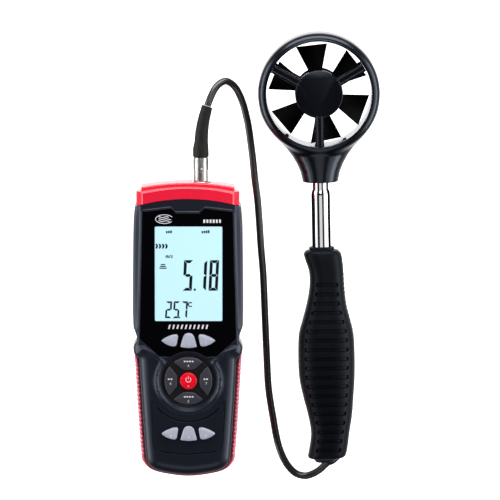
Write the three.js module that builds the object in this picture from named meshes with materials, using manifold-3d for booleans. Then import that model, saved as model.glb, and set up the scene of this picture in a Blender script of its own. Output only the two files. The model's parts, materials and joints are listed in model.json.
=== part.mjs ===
// A split vane anemometer: a battery-powered display unit (the meter) with a plug-in probe.
// The probe is a handle with a two-stage telescopic mast and a ring that holds a six-bladed rotor.
// Both lie face up on one surface, joined by a free cord. Millimetres, +Z up, +Y towards the ring.

import * as THREE from 'three';
import { mergeVertices } from 'three/addons/utils/BufferGeometryUtils.js';
import Module from 'manifold-3d';

const wasm = await Module();
wasm.setup();

// ---------- driving dimensions ----------

const GAP = 0.3; // clearance between touching pieces

const METER_X = -46.5; // centre line of the meter
const METER_Y = -153.35; // lower end of the meter
const PARTING_Z = 19; // where the meter's two shells meet
const FRONT_Z = 38.5; // the meter's flat front
const TOP_WALL = 2.6; // thickness of the front wall
const WALL = 2.6; // thickness of the side walls
const GRIP = 2.8; // thickness of the soft side grips
const BAY = { half: 24, low: 20, high: 72, ceiling: 14.5 }; // battery bay
const DOOR = { half: 25.5, high: 77, thick: 1.8 };

const NAV = { u: 0.3, v: 67.6 }; // centre of the round key group
const SIDE_KEY_V = { upper: 95.3, lower: 31.1 };
const KEY_TOP = { outer: 41, round: 40.2 };
const KEY_FOOT = 34.4;
const KEY_CLEARANCE = 0.45;
const WINDOW_Z = [37, 38.6];
const LCD = { half: 23.4, low: 108.8, high: 173.8 };

const SOCKET = { u: 8.8, z: 20, v: [193, 203.2] };

const HEAD_X = 43.1;
const HEAD_Y = 111.85;
const PROBE_TILT = THREE.MathUtils.degToRad(1.1); // how far the probe's axis leans from +Y
const AXIS_Z = 17; // height of the probe's axis
const RING = { y: -1.4, outer: 41.8, inner: 36.4, rear: 35.7, depth: 34 };
const HUB_R = 16.4;
const NECK_END = -62.7; // heights along the probe are from a point just above the ring's centre
const INNER_MAST = { r: 5.5, wall: 0.6, from: -190, to: -48.5 };
const OUTER_MAST = { r: 6.4, wall: 0.6, from: -203, to: -68.2 };
const HANDLE = { bore: 6.75, boreEnd: -246 };
const BUSH = { r: 9, from: -121, to: -110.5 }; // guide ring for the mast in the handle's upper end
const CORD_R = 2.5;
const CEILING_Z = FRONT_Z - TOP_WALL; // underside of the meter's front wall

// ---------- materials ----------

function finish(colour, roughness, metalness = 0) {
  return new THREE.MeshStandardMaterial({ color: colour, roughness, metalness });
}

const MATERIAL = {
  shell: finish(0x20222c, 0.5),
  red: finish(0xeb263d, 0.42),
  gloss: finish(0x050608, 0.08),
  lcd: finish(0xc8f8ff, 0.2),
  board: finish(0x1f5a35, 0.6),
  silicone: finish(0x8e929b, 0.7),
  lightKey: finish(0xb8bccb, 0.45),
  darkKey: finish(0x48464f, 0.5),
  redKey: finish(0xe0162c, 0.35),
  steel: finish(0xb5b7b8, 0.35, 1),
  chrome: finish(0xe2e3e5, 0.08, 1),
  brass: finish(0xc9a24a, 0.35, 1),
  battery: finish(0x2b5d8c, 0.35, 0.5),
  rubber: finish(0x15161a, 0.75),
  handle: finish(0x0f1218, 0.6),
  head: finish(0x14151c, 0.3),
};

// ---------- solids ----------

function positionsOnly(geometry) {
  const plain = geometry.clone();
  for (const name of Object.keys(plain.attributes)) {
    if (name !== 'position') plain.deleteAttribute(name);
  }
  return mergeVertices(plain, 1e-4);
}

function withoutSlivers(index) {
  const kept = [];
  for (let i = 0; i < index.length; i += 3) {
    const [a, b, c] = [index[i], index[i + 1], index[i + 2]];
    if (a !== b && b !== c && c !== a) kept.push(a, b, c);
  }
  return kept;
}

function signedVolume(position, index) {
  const [a, b, c] = [new THREE.Vector3(), new THREE.Vector3(), new THREE.Vector3()];
  let sum = 0;
  for (let i = 0; i < index.length; i += 3) {
    a.fromBufferAttribute(position, index[i]);
    b.fromBufferAttribute(position, index[i + 1]);
    c.fromBufferAttribute(position, index[i + 2]);
    sum += a.dot(b.cross(c));
  }
  return sum / 6;
}

// One closed body with shared vertices and its faces pointing out.
function closed(geometry) {
  const merged = positionsOnly(geometry);
  const index = withoutSlivers(Array.from(merged.index.array));
  if (signedVolume(merged.attributes.position, index) < 0) index.reverse();
  merged.setIndex(index);
  return merged;
}

function toManifold(geometry) {
  const body = closed(geometry);
  const vertProperties = new Float32Array(body.attributes.position.array);
  const triVerts = new Uint32Array(body.index.array);
  return new wasm.Manifold(new wasm.Mesh({ numProp: 3, vertProperties, triVerts }));
}

function toGeometry(manifold) {
  const { numProp, vertProperties, triVerts } = manifold.getMesh();
  const position = [];
  for (let i = 0; i < vertProperties.length; i += numProp) {
    position.push(vertProperties[i], vertProperties[i + 1], vertProperties[i + 2]);
  }
  const geometry = new THREE.BufferGeometry();
  geometry.setAttribute('position', new THREE.Float32BufferAttribute(position, 3));
  geometry.setIndex(Array.from(triVerts));
  return geometry;
}

function join(...geometries) {
  return toGeometry(geometries.map(toManifold).reduce((sum, next) => sum.add(next)));
}

function cut(base, ...tools) {
  const left = tools.map(toManifold).reduce((sum, next) => sum.subtract(next), toManifold(base));
  return toGeometry(left);
}

function overlap(a, b) {
  return toGeometry(toManifold(a).intersect(toManifold(b)));
}

// ---------- shapes ----------

function box(x0, x1, y0, y1, z0, z1) {
  const geometry = new THREE.BoxGeometry(x1 - x0, y1 - y0, z1 - z0);
  return geometry.translate((x0 + x1) / 2, (y0 + y1) / 2, (z0 + z1) / 2);
}

// A straight prism over a list of [x, y] points.
function prism(points, z0, z1) {
  const shape = new THREE.Shape(points.map(([x, y]) => new THREE.Vector2(x, y)));
  const geometry = new THREE.ExtrudeGeometry(shape, { depth: z1 - z0, bevelEnabled: false });
  return geometry.translate(0, 0, z0);
}

// A round piece about the Z axis from an [r, z] profile.
function turned(profile, segments = 24) {
  const points = profile.map(([r, z]) => new THREE.Vector2(r, z));
  return new THREE.LatheGeometry(points, segments).rotateX(Math.PI / 2);
}

function rod(r, z0, z1, segments = 24) {
  return turned([[0, z0], [r, z0], [r, z1], [0, z1]], segments);
}

function tube(inner, outer, z0, z1, segments = 24) {
  return turned([[inner, z0], [outer, z0], [outer, z1], [inner, z1], [inner, z0]], segments);
}

// A closed skin over rings of 3-D points: all rings have the same number of points.
function loft(rings) {
  const count = rings[0].length;
  const position = rings.flat(2);
  const index = [];
  for (let ring = 0; ring < rings.length - 1; ring++) {
    for (let i = 0; i < count; i++) {
      const a = ring * count + i;
      const b = ring * count + ((i + 1) % count);
      index.push(a, b, b + count, a, b + count, a + count);
    }
  }
  const flat = flattened(rings[0]);
  const last = (rings.length - 1) * count;
  for (const [a, b, c] of THREE.ShapeUtils.triangulateShape(flat, [])) {
    const sameWay = turnOf([flat[a], flat[b], flat[c]]) === turnOf(flat);
    const [p, q] = sameWay ? [a, b] : [b, a];
    index.push(q, p, c, last + p, last + q, last + c);
  }
  const geometry = new THREE.BufferGeometry();
  geometry.setAttribute('position', new THREE.Float32BufferAttribute(position, 3));
  geometry.setIndex(index);
  return geometry;
}

function turnOf(polygon) {
  return Math.sign(THREE.ShapeUtils.area(polygon));
}

// The two coordinates in which a flat ring of 3-D points spreads.
function flattened(ring) {
  const spread = [0, 1, 2].map((k) => {
    const values = ring.map((p) => p[k]);
    return Math.max(...values) - Math.min(...values);
  });
  const thin = spread.indexOf(Math.min(...spread));
  const [i, j] = [0, 1, 2].filter((k) => k !== thin);
  return ring.map((p) => new THREE.Vector2(p[i], p[j]));
}

// Corners rounded by short curves.
function rounded(corners, radius, steps = 4) {
  const points = [];
  corners.forEach((corner, i) => {
    const here = new THREE.Vector2(...corner);
    const before = new THREE.Vector2(...corners.at(i - 1)).sub(here).normalize();
    const after = new THREE.Vector2(...corners[(i + 1) % corners.length]).sub(here).normalize();
    const start = here.clone().addScaledVector(before, radius);
    const end = here.clone().addScaledVector(after, radius);
    const curve = new THREE.QuadraticBezierCurve(start, here, end);
    points.push(...curve.getPoints(steps).map((p) => [p.x, p.y]));
  });
  return points;
}

// Moves each point of a counter-clockwise outline inwards (outwards if negative).
function inset(points, distance) {
  return points.map(([x, y], i) => {
    const [px, py] = points.at(i - 1);
    const [nx, ny] = points[(i + 1) % points.length];
    const before = new THREE.Vector2(x - px, y - py).normalize();
    const after = new THREE.Vector2(nx - x, ny - y).normalize();
    const mean = before.clone().add(after).normalize();
    const reach = typeof distance === 'function' ? distance(x, y) : distance;
    const miter = reach / Math.max(0.6, mean.dot(before));
    return [x - mean.y * miter, y + mean.x * miter];
  });
}

function atHeight(points, z) {
  return points.map(([x, y]) => [x, y, z]);
}

function shifted(points, dx, dy) {
  return points.map(([x, y]) => [x + dx, y + dy]);
}

// ---------- the object ----------

const anemometer = new THREE.Group();
const meter = new THREE.Group();
meter.position.set(METER_X, METER_Y, 0);
const probe = new THREE.Group();
probe.position.set(HEAD_X, HEAD_Y, 0);
probe.rotation.z = PROBE_TILT;
const lead = new THREE.Group();
anemometer.add(meter, probe, lead);

function add(parent, name, geometry, material) {
  const mesh = new THREE.Mesh(closed(geometry), material);
  mesh.name = name;
  parent.add(mesh);
}

// ---------- meter: outline ----------

// Half-width of the meter over its height, at its widest level.
const SIDE = [
  [0, 0], [1.7, 15.5], [4.6, 25.4], [10, 31], [17, 32.6], [43, 34.5], [71, 36.2], [85, 36.9],
  [90.5, 37.6], [96, 35.5], [101.6, 36.9], [107, 38], [137, 38.1], [174, 37.6], [187.2, 36.5],
];
const TOP_RISE = 5.2; // the ends of the housing curve up this much towards the centre line

function sidePoints() {
  const spline = new THREE.SplineCurve(SIDE.map(([v, u]) => new THREE.Vector2(u, v)));
  return spline.getPoints(24).map((p) => [p.x, p.y]);
}

function topArc(halfWidth, ends, centre, steps = 8) {
  const points = [];
  for (let i = 1; i < steps; i++) {
    const t = 1 - (2 * i) / steps;
    points.push([halfWidth * t, ends + (centre - ends) * (1 - t * t)]);
  }
  return points;
}

// The grips thicken the lower part, so the shells are slimmer there. The upper end stays square,
// and is lower by endDrop.
function meterOutline(reach, gripDepth = GRIP, endDrop = 0) {
  const right = sidePoints();
  const left = right.slice(1).reverse().map(([u, v]) => [-u, v]);
  const [u, v] = right.at(-1);
  const ramp = (y) => THREE.MathUtils.smoothstep(86 - y, 0, 5);
  const bottom = (y) => THREE.MathUtils.lerp(0.55, 1, THREE.MathUtils.smoothstep(y, 1, 12));
  const depth = (x, y) => reach + gripDepth * ramp(y) * bottom(y);
  const whole = inset([...right, ...topArc(u, v, v + TOP_RISE), ...left], depth);
  return whole.map(([x, y], i) => {
    if (i < right.length - 1 || i > whole.length - right.length + 1) return [x, y];
    const arch = topArc(u - reach, v, v + TOP_RISE);
    const [endX, endY] = [[u - reach, v], ...arch, [reach - u, v]][i - right.length + 1];
    return [endX, endY - endDrop];
  });
}

function meterLoft(levels, endDrop = 0) {
  return loft(levels.map(([z, reach]) => atHeight(meterOutline(reach, GRIP, endDrop), z)));
}

// ---------- meter: keys ----------

const SIDE_KEY = [[18.2, 0.1], [7, 4.2], [8.5, -3.9]]; // right-hand one
const MID_KEY = [[-5.8, -4.4], [0, -5.1], [5.8, -4.4], [2.9, 4.9], [0, 5.6], [-2.9, 4.9]];

function sideKeyOutline(side) {
  const corners = side > 0 ? SIDE_KEY : SIDE_KEY.map(([x, y]) => [-x, y]).reverse();
  return rounded(corners, 1.8, 3);
}

// A quarter of the round pad: an arched outer side, and ends cut off towards the middle.
function arcKeyOutline(turn) {
  const reach = THREE.MathUtils.degToRad(37);
  const arc = new THREE.EllipseCurve(0, 0, 16.2, 16.2, -reach, reach).getPoints(8);
  const outline = [...arc.map((p) => [p.x, p.y]), [8.2, 4], [7.8, 0], [8.2, -4]];
  return outline.map(([x, y]) => {
    const p = new THREE.Vector2(x, y).rotateAround(new THREE.Vector2(), turn);
    return [p.x, p.y];
  });
}

function circle(r, steps = 24) {
  const curve = new THREE.EllipseCurve(0, 0, r, r, 0, Math.PI * 2);
  return curve.getPoints(steps).slice(0, -1).map((p) => [p.x, p.y]);
}

function keyList() {
  const keys = [];
  const addKey = (name, outline, u, v, material, top) => {
    keys.push({ name: `key_${name}`, outline: shifted(outline, u, v), material, top });
  };
  for (const row of ['upper', 'lower']) {
    const v = SIDE_KEY_V[row];
    addKey(`${row}_left`, sideKeyOutline(-1), 0, v, MATERIAL.lightKey, KEY_TOP.outer);
    addKey(`${row}_middle`, rounded(MID_KEY, 1.2, 2), 0, v, MATERIAL.lightKey, KEY_TOP.outer);
    addKey(`${row}_right`, sideKeyOutline(1), 0, v, MATERIAL.lightKey, KEY_TOP.outer);
  }
  ['right', 'up', 'left', 'down'].forEach((side, i) => {
    const outline = arcKeyOutline((i * Math.PI) / 2);
    addKey(`round_${side}`, outline, NAV.u, NAV.v, MATERIAL.darkKey, KEY_TOP.round);
  });
  addKey('power', circle(5.7), NAV.u, NAV.v, MATERIAL.redKey, KEY_TOP.outer);
  return keys;
}

function keyHole(key, z0, z1) {
  return prism(inset(key.outline, -KEY_CLEARANCE), z0, z1);
}

// ---------- meter: housing ----------

const WINDOW = rounded([
  [19.4, 84.4], [33, 96.6], [31, 184.2], [11.9, 186.5], [8.7, 183.2], [-8.7, 183.2],
  [-11.9, 186.5], [-31, 184.2], [-33, 96.6], [-19.4, 84.4], [-10, 88.2], [10, 88.2],
], 1, 2);

const PANEL_TOP_R = 28.7;
const PANEL_FLOOR = FRONT_Z - 1.4;

// Hollow at the top, following the round key group.
function panelOutline() {
  const curve = new THREE.EllipseCurve(NAV.u, NAV.v, PANEL_TOP_R, PANEL_TOP_R, -0.61, -2.53, true);
  const arc = curve.getPoints(10).map((p) => [p.x, p.y]);
  return [...arc, [-22.4, 24], [-18, 17.3], [18, 17.3], [22.4, 24]];
}

function bossAt(r, u, v, z0, z1) {
  return rod(r, z0, z1, 16).translate(u, v, 0);
}

const SCREWS = [[-28, 180], [28, 180], [-20, 10.5], [20, 10.5]];

function frontShell(keys) {
  const base = PARTING_Z + GAP / 2;
  const outside = meterLoft([[base, 0], [30, 1.5], [36.5, 3.4], [FRONT_Z, 5.2]]);
  const levels = [[base - 1, WALL], [29, WALL + 1.2], [CEILING_Z, WALL + 4]];
  const hollow = cut(outside, meterLoft(levels, WALL));
  const ridge = tube(20.2, 23.4, FRONT_Z - 0.8, FRONT_Z + 0.9, 28).translate(NAV.u, NAV.v, 0);
  const bosses = SCREWS.map(([u, v]) => bossAt(3.2, u, v, base, CEILING_Z + 0.5));
  const pilots = SCREWS.map(([u, v]) => rod(1.7, base - 1, 27, 12).translate(u, v, 0));
  const holes = keys.map((key) => keyHole(key, FRONT_Z - 4, FRONT_Z + 4));
  const pocket = prism(inset(WINDOW, -GAP), WINDOW_Z[0] - GAP, FRONT_Z + 2);
  const opening = box(-LCD.half - 1, LCD.half + 1, LCD.low - 1, LCD.high + 1, CEILING_Z - 2, FRONT_Z);
  const panelPocket = prism(inset(panelOutline(), -GAP), PANEL_FLOOR - GAP, FRONT_Z + 2);
  return cut(join(hollow, ridge, ...bosses), ...pilots, ...holes, pocket, opening, panelPocket);
}

// Reach of the rear shell's side inwards at each height.
const BACK_LEVELS = [[0, 5], [2, 2.6], [8, 0.6], [PARTING_Z - GAP / 2, 0]];

function rearShell() {
  const rim = PARTING_Z - GAP / 2;
  const upper = meterLoft([[16, WALL], [rim + 1, WALL]], WALL);
  const inside = meterLoft([[2.6, WALL + 3], [8, WALL + 0.8], [17, WALL]], WALL);
  const aboveBay = box(-50, 50, BAY.high + 10, 220, 0, 30);
  const bay = box(-BAY.half, BAY.half, BAY.low, BAY.high, DOOR.thick, BAY.ceiling);
  const doorHalf = DOOR.half + GAP;
  const recess = box(-doorHalf, doorHalf, -5, DOOR.high + GAP, -1, DOOR.thick + GAP);
  const holes = SCREWS.map(([u, v]) => rod(1.9, -1, 25, 12).translate(u, v, 0));
  const heads = SCREWS.map(([u, v]) => rod(3.2, -1, 5.2, 16).translate(u, v, 0));
  const posts = SCREWS.slice(0, 2).map(([u, v]) => bossAt(5, u, v, 2, rim));
  const shell = cut(meterLoft(BACK_LEVELS), upper, overlap(inside, aboveBay));
  return cut(join(shell, ...posts), bay, recess, ...holes, ...heads);
}

// The cap sits on the arched ends of both shells.
function capOutline(reach = 0, drop = 0) {
  const [shellEnd, shellHalf] = SIDE.at(-1);
  const [half, upperHalf] = [35.4 - reach, 35 - reach];
  const start = (u) => shellEnd + GAP * 1.2 + TOP_RISE * (1 - (u / shellHalf) ** 2);
  const steps = 8;
  const lower = Array.from({ length: steps + 1 }, (_, i) => {
    const u = ((2 * i) / steps - 1) * half;
    return [u, start(u)];
  });
  const [end, centre] = [197.4, 201].map((v) => v - reach * 0.15 - drop);
  return [...lower, [upperHalf, end], ...topArc(upperHalf, end, centre), [-upperHalf, end]];
}

// A block of the cap with a straight lower end and an arched upper one.
function archBlock(half, low, ends, centre, z0, z1) {
  const points = [[-half, low], [half, low], [half, ends], ...topArc(half, ends, centre), [-half, ends]];
  return prism(points, z0, z1);
}

// [height, reach inwards] of the cap's wide front layer and its smaller back one
const CAP_FRONT = [[21, 0.3], [22, 0], [33, 0.7], [36, 2.6], [FRONT_Z, 4.2]];
const CAP_BACK = { drop: 4, levels: [[0, 7.5], [2.5, 5.1], [8, 3.9], [21.5, 3.6]] };

function topCap() {
  const front = loft(CAP_FRONT.map(([z, reach]) => atHeight(capOutline(reach), z)));
  const back = loft(CAP_BACK.levels.map(([z, reach]) => (
    atHeight(capOutline(reach, CAP_BACK.drop), z)
  )));
  const low = SIDE.at(-1)[0] - 8;
  const lying = (r, from, to) => rod(r, from, to).rotateX(-Math.PI / 2).translate(SOCKET.u, 0, SOCKET.z);
  const full = join(front, back, archBlock(32, 193.2, 200.2, SOCKET.v[1], 8, 33));
  const pocket = join(
    archBlock(29.4, low, 191.6, 195, 4, 34),
    archBlock(30, 190, 198.2, 201.2, 9.8, 31.2),
  );
  const shell = cut(full, pocket);
  const bush = overlap(lying(8.6, 193.2, 202.5), full);
  return cut(join(shell, bush), lying(7 + GAP, 180, 220));
}

function probeSocket() {
  const [low, high] = SOCKET.v;
  return tube(4.9, 7, low, high, 20).rotateX(-Math.PI / 2).translate(SOCKET.u, 0, SOCKET.z);
}

// A band round the lower part of both shells, outside their slimmer stretch.
function gripBumper() {
  const outer = meterOutline(0, 0);
  const levels = [[8, 1], [12, 0], [26, 0], [29, 1.2]];
  const band = loft(levels.map(([z, reach]) => atHeight(inset(outer, reach), z)));
  const lowerPart = box(-50, 50, -5, 84, 0, 40);
  return overlap(cut(band, prism(meterOutline(-GAP), 0, 40)), lowerPart);
}

function holesFor(keys, row) {
  return keys.filter((key) => key.name.startsWith(`key_${row}`)).map((key) => keyHole(key, 30, 45));
}

function displayWindow(keys) {
  return cut(prism(WINDOW, ...WINDOW_Z), ...holesFor(keys, 'upper'));
}

function lowerPanel(keys) {
  return cut(prism(panelOutline(), PANEL_FLOOR, FRONT_Z + 0.3), ...holesFor(keys, 'lower'));
}

function buildHousing(keys) {
  add(meter, 'rear_shell', rearShell(), MATERIAL.shell);
  add(meter, 'front_shell', frontShell(keys), MATERIAL.shell);
  add(meter, 'top_cap', topCap(), MATERIAL.red);
  add(meter, 'grip_bumper', gripBumper(), MATERIAL.red);
  add(meter, 'display_window', displayWindow(keys), MATERIAL.gloss);
  add(meter, 'lower_panel', lowerPanel(keys), MATERIAL.shell);
  add(meter, 'probe_socket', probeSocket(), MATERIAL.steel);
  add(meter, 'battery_door', batteryDoor(), MATERIAL.shell);
  SCREWS.forEach(([u, v], i) => {
    add(meter, `shell_screw_${i + 1}`, shellScrew().translate(u, v, 0), MATERIAL.steel);
  });
}

function shellScrew() {
  return turned([[0, 2.8], [2.8, 2.8], [2.8, 4.6], [1.35, 4.9], [1.35, 26], [0, 26]], 10);
}

// Its lower end follows the rounded end of the rear shell.
function batteryDoor() {
  const plate = box(-DOOR.half, DOOR.half, -5, DOOR.high, -1, DOOR.thick);
  return overlap(plate, meterLoft(BACK_LEVELS));
}

// ---------- meter: electronics and batteries ----------

function buildElectronics() {
  const stack = 28.2; // top of the main board
  const side = [[22, 18], [24, 30], [28, 100], [28, 172]];
  const corners = [...side, ...side.map(([u, v]) => [-u, v]).reverse()];
  add(meter, 'main_board', prism(corners, stack - 1.6, stack), MATERIAL.board);
  add(meter, 'backlight_panel', box(-26, 26, 104, 177, stack + GAP, 32.2), MATERIAL.silicone);
  add(meter, 'lcd_panel', box(-25.5, 25.5, 105, 176, 32.5, CEILING_Z - GAP), MATERIAL.lcd);
  const mat = rounded([[-20, 22], [20, 22], [22, 102], [-22, 102]], 2, 3);
  add(meter, 'keypad_mat', prism(mat, stack + GAP, KEY_FOOT - 1.2), MATERIAL.silicone);
}

function battery() {
  const profile = [[0, 0], [5.25, 0], [5.25, 43.6], [1.9, 43.6], [1.9, 44.5], [0, 44.5]];
  return turned(profile, 12).rotateX(-Math.PI / 2);
}

// A contact strip with a small post towards each cell.
function contactStrip(v, reach) {
  const [thick, post] = [0.8, 1.5];
  const strip = box(-BAY.half + 1, BAY.half - 1, v, v + thick, 4, 12);
  const posts = BATTERY_U.map((u) => {
    const [low, high] = reach > 0 ? [v, v + thick + reach] : [v + reach, v + thick];
    return box(u - post, u + post, low, high, 8 - post, 8 + post);
  });
  return join(strip, ...posts);
}

const BATTERY_U = [-17.1, -5.7, 5.7, 17.1];

function buildBatteries() {
  const low = 25.4;
  BATTERY_U.forEach((u, i) => {
    add(meter, `battery_${i + 1}`, battery().translate(u, low, 8), MATERIAL.battery);
  });
  add(meter, 'battery_springs', contactStrip(BAY.low + 0.5, 3.6), MATERIAL.steel);
  add(meter, 'battery_contacts', contactStrip(BAY.high - 1.3, -0.3), MATERIAL.steel);
}

// ---------- probe: plug, cord and handle ----------

const PLUG_LENGTH = 16.3; // of the metal sleeve
const PLUG = { x: METER_X + SOCKET.u, y: METER_Y + SOCKET.v[1] + GAP, z: SOCKET.z };

// The cord's centre line from the plug's boot to the handle: hand-chosen points.
const CORD_ROUTE = [
  [-33.1, 101.6, 20], [-32, 104.8, 19.6], [-30.5, 108.4, 18.4], [-28.2, 112.8, 16.4],
  [-25, 116.3, 14], [-20.7, 118, 11.4], [-16.5, 115.9, 8.8], [-13.3, 112.2, 6.6],
  [-10.7, 107, 4.8], [-8.4, 100.7, 3.4], [-6.4, 92.7, 2.7], [-4.8, 84.7, 2.6],
  [-2.3, 65.8, 2.6], [-0.6, 49.2, 2.6], [1.2, 35.3, 2.6], [2.5, 18.6, 2.6],
  [3.6, 2, 2.6], [5, -14.7, 2.6], [5.9, -34.1, 2.6], [6.7, -53.5, 2.6],
  [7.7, -75.7, 2.6], [8.6, -93.1, 2.6], [10.3, -106.2, 2.6], [12.2, -117.3, 2.6],
  [13.7, -126.2, 2.6], [15.7, -135, 2.6], [18.8, -143.4, 2.6], [22.8, -150.1, 2.7],
  [28, -154.9, 3], [34.2, -156.4, 3.6], [39.5, -154.8, 4.6], [43.9, -152, 5.8],
  [47.4, -148.7, 7.1], [50, -146.2, 8.2],
];

function cordTube() {
  const route = CORD_ROUTE.map((p) => new THREE.Vector3(...p));
  const curve = new THREE.CatmullRomCurve3(route, false, 'centripetal');
  const section = new THREE.Shape(circle(CORD_R, 8).map(([x, y]) => new THREE.Vector2(x, y)));
  return new THREE.ExtrudeGeometry(section, { steps: 56, bevelEnabled: false, extrudePath: curve });
}

// A round body along a straight line in space, by [radius, distance] steps.
function turnedAlong(profile, start, direction, segments = 16) {
  const body = turned(profile, segments);
  const turn = new THREE.Quaternion().setFromUnitVectors(
    new THREE.Vector3(0, 0, 1),
    new THREE.Vector3(...direction).normalize(),
  );
  return body.applyQuaternion(turn).translate(...start);
}

// A tapered round body along a curve.
function swept(curve, radiusAt, steps = 8, sides = 16) {
  const up = new THREE.Vector3(0, 0, 1);
  const rings = [];
  for (let i = 0; i <= steps; i++) {
    const t = i / steps;
    const [centre, along] = [curve.getPoint(t), curve.getTangent(t)];
    const across = new THREE.Vector3().crossVectors(along, up).normalize();
    const over = new THREE.Vector3().crossVectors(across, along);
    rings.push(circle(radiusAt(t), sides).map(([a, b]) => (
      centre.clone().addScaledVector(across, a).addScaledVector(over, b).toArray()
    )));
  }
  return loft(rings);
}

function plugBoot() {
  const start = new THREE.Vector3(PLUG.x, PLUG.y + PLUG_LENGTH + GAP, PLUG.z);
  const cordStart = new THREE.Vector3(...CORD_ROUTE[0]);
  const along = new THREE.Vector3(...CORD_ROUTE[1]).sub(cordStart).normalize();
  const tip = cordStart.addScaledVector(along, -GAP);
  const reach = 12; // how far each end of the boot runs on straight
  const leaving = start.clone().add(new THREE.Vector3(0, reach, 0));
  const arriving = tip.clone().addScaledVector(along, -reach);
  const curve = new THREE.CubicBezierCurve3(start, leaving, arriving, tip);
  return swept(curve, (t) => THREE.MathUtils.lerp(5.5, 3.8, t));
}

function buildPlug() {
  const place = (geometry) => geometry.rotateX(-Math.PI / 2).translate(PLUG.x, PLUG.y, PLUG.z);
  const insert = turned([[0, -9], [4.5, -9], [4.5, -GAP], [3.8, -GAP], [3.8, 14], [0, 14]], 16);
  add(lead, 'plug_shell', place(tube(4.1, 5.2, 0, PLUG_LENGTH, 20)), MATERIAL.steel);
  add(lead, 'plug_insert', place(insert), MATERIAL.brass);
  add(lead, 'plug_boot', plugBoot(), MATERIAL.rubber);
  add(lead, 'cord', cordTube(), MATERIAL.rubber);
  add(lead, 'cord_gland', cordGland(), MATERIAL.rubber);
}

// The short sleeve that holds the cord in the handle's end, grown by extra for the hole it sits in.
function cordGland(extra = 0, wider = 0) {
  const r = CORD_R + 1.2 + wider;
  const end = new THREE.Vector3(...CORD_ROUTE.at(-1));
  const direction = end.clone().sub(new THREE.Vector3(...CORD_ROUTE.at(-2))).normalize();
  const start = end.clone().addScaledVector(direction, GAP);
  const profile = [[0, -extra], [r - 0.6, -extra], [r, 3], [r, 11 + extra], [0, 11 + extra]];
  return turnedAlong(profile, start.toArray(), direction.toArray());
}

// [height, half-width, half-thickness, offset of the middle]
const HANDLE_STATIONS = [
  [-107.3, 7.6, 7.6, 0], [-107.8, 8.6, 8.6, 0], [-109.3, 8.9, 8.9, 0.1], [-109.8, 10.8, 10.4, 0.2],
  [-111.2, 12.3, 11.6, 0.3], [-113, 12.9, 12, 0.6], [-117, 12.7, 12.2, 1.5],
  [-125, 11.9, 12.4, 3],
  [-136, 12.2, 13, 3.2], [-148, 14, 14, 2.6], [-158, 16.6, 15, 2.4], [-168, 18.9, 16, 2.1],
  [-183, 19.5, 16.8, 2], [-198, 19.1, 16.8, 2.1], [-212, 17.2, 16, 2.9], [-224, 15.2, 15, 3.8],
  [-236, 13.3, 14, 3.7], [-247, 13.2, 13.4, 2.2], [-252, 13, 13, 1], [-253.6, 11.4, 11.4, 0.5],
  [-254, 9, 10, 0.2], [-256.5, 6.4, 7, 0],
];

function handleBody() {
  const steps = 20;
  const rings = HANDLE_STATIONS.map(([y, half, thick, offset]) => {
    const ring = [];
    for (let i = 0; i < steps; i++) {
      const a = (i / steps) * Math.PI * 2;
      const square = 0.8; // flattens the sides a little
      const x = Math.sign(Math.cos(a)) * Math.abs(Math.cos(a)) ** square * half;
      const z = Math.sign(Math.sin(a)) * Math.abs(Math.sin(a)) ** square * thick;
      ring.push([x + offset, y, AXIS_Z + z]);
    }
    return ring;
  });
  return loft(rings);
}

const SLOT = { first: -132.9, pitch: 6.35, count: 19, height: 2.8, depth: 1.4, margin: 4.4 };
const HANDLE_SCREWS = [[-12, -185], [15.5, -185]];

function handleStation(y) {
  const i = HANDLE_STATIONS.findIndex((station, k) => k > 0 && station[0] <= y);
  const [upper, lower] = [HANDLE_STATIONS[i - 1], HANDLE_STATIONS[i]];
  const t = (y - upper[0]) / (lower[0] - upper[0]);
  return upper.map((value, k) => THREE.MathUtils.lerp(value, lower[k], t));
}

function slotCutters() {
  const cutters = [];
  for (let i = 0; i < SLOT.count; i++) {
    const y = SLOT.first - i * SLOT.pitch;
    const [, half, thick, offset] = handleStation(y);
    const reach = half - SLOT.margin;
    const floor = AXIS_Z + thick * 0.93 - SLOT.depth;
    const [low, high] = [y - SLOT.height / 2, y + SLOT.height / 2];
    cutters.push(box(offset - reach, offset + reach, low, high, floor, 60));
  }
  return cutters;
}

function lyingRod(r, from, to, segments = 24) {
  return rod(r, from, to, segments).rotateX(-Math.PI / 2).translate(0, 0, AXIS_Z);
}

function glandInProbeFrame() {
  const gland = cordGland(2, GAP);
  gland.translate(-HEAD_X, -HEAD_Y, 0);
  return gland.rotateZ(-PROBE_TILT);
}

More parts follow.
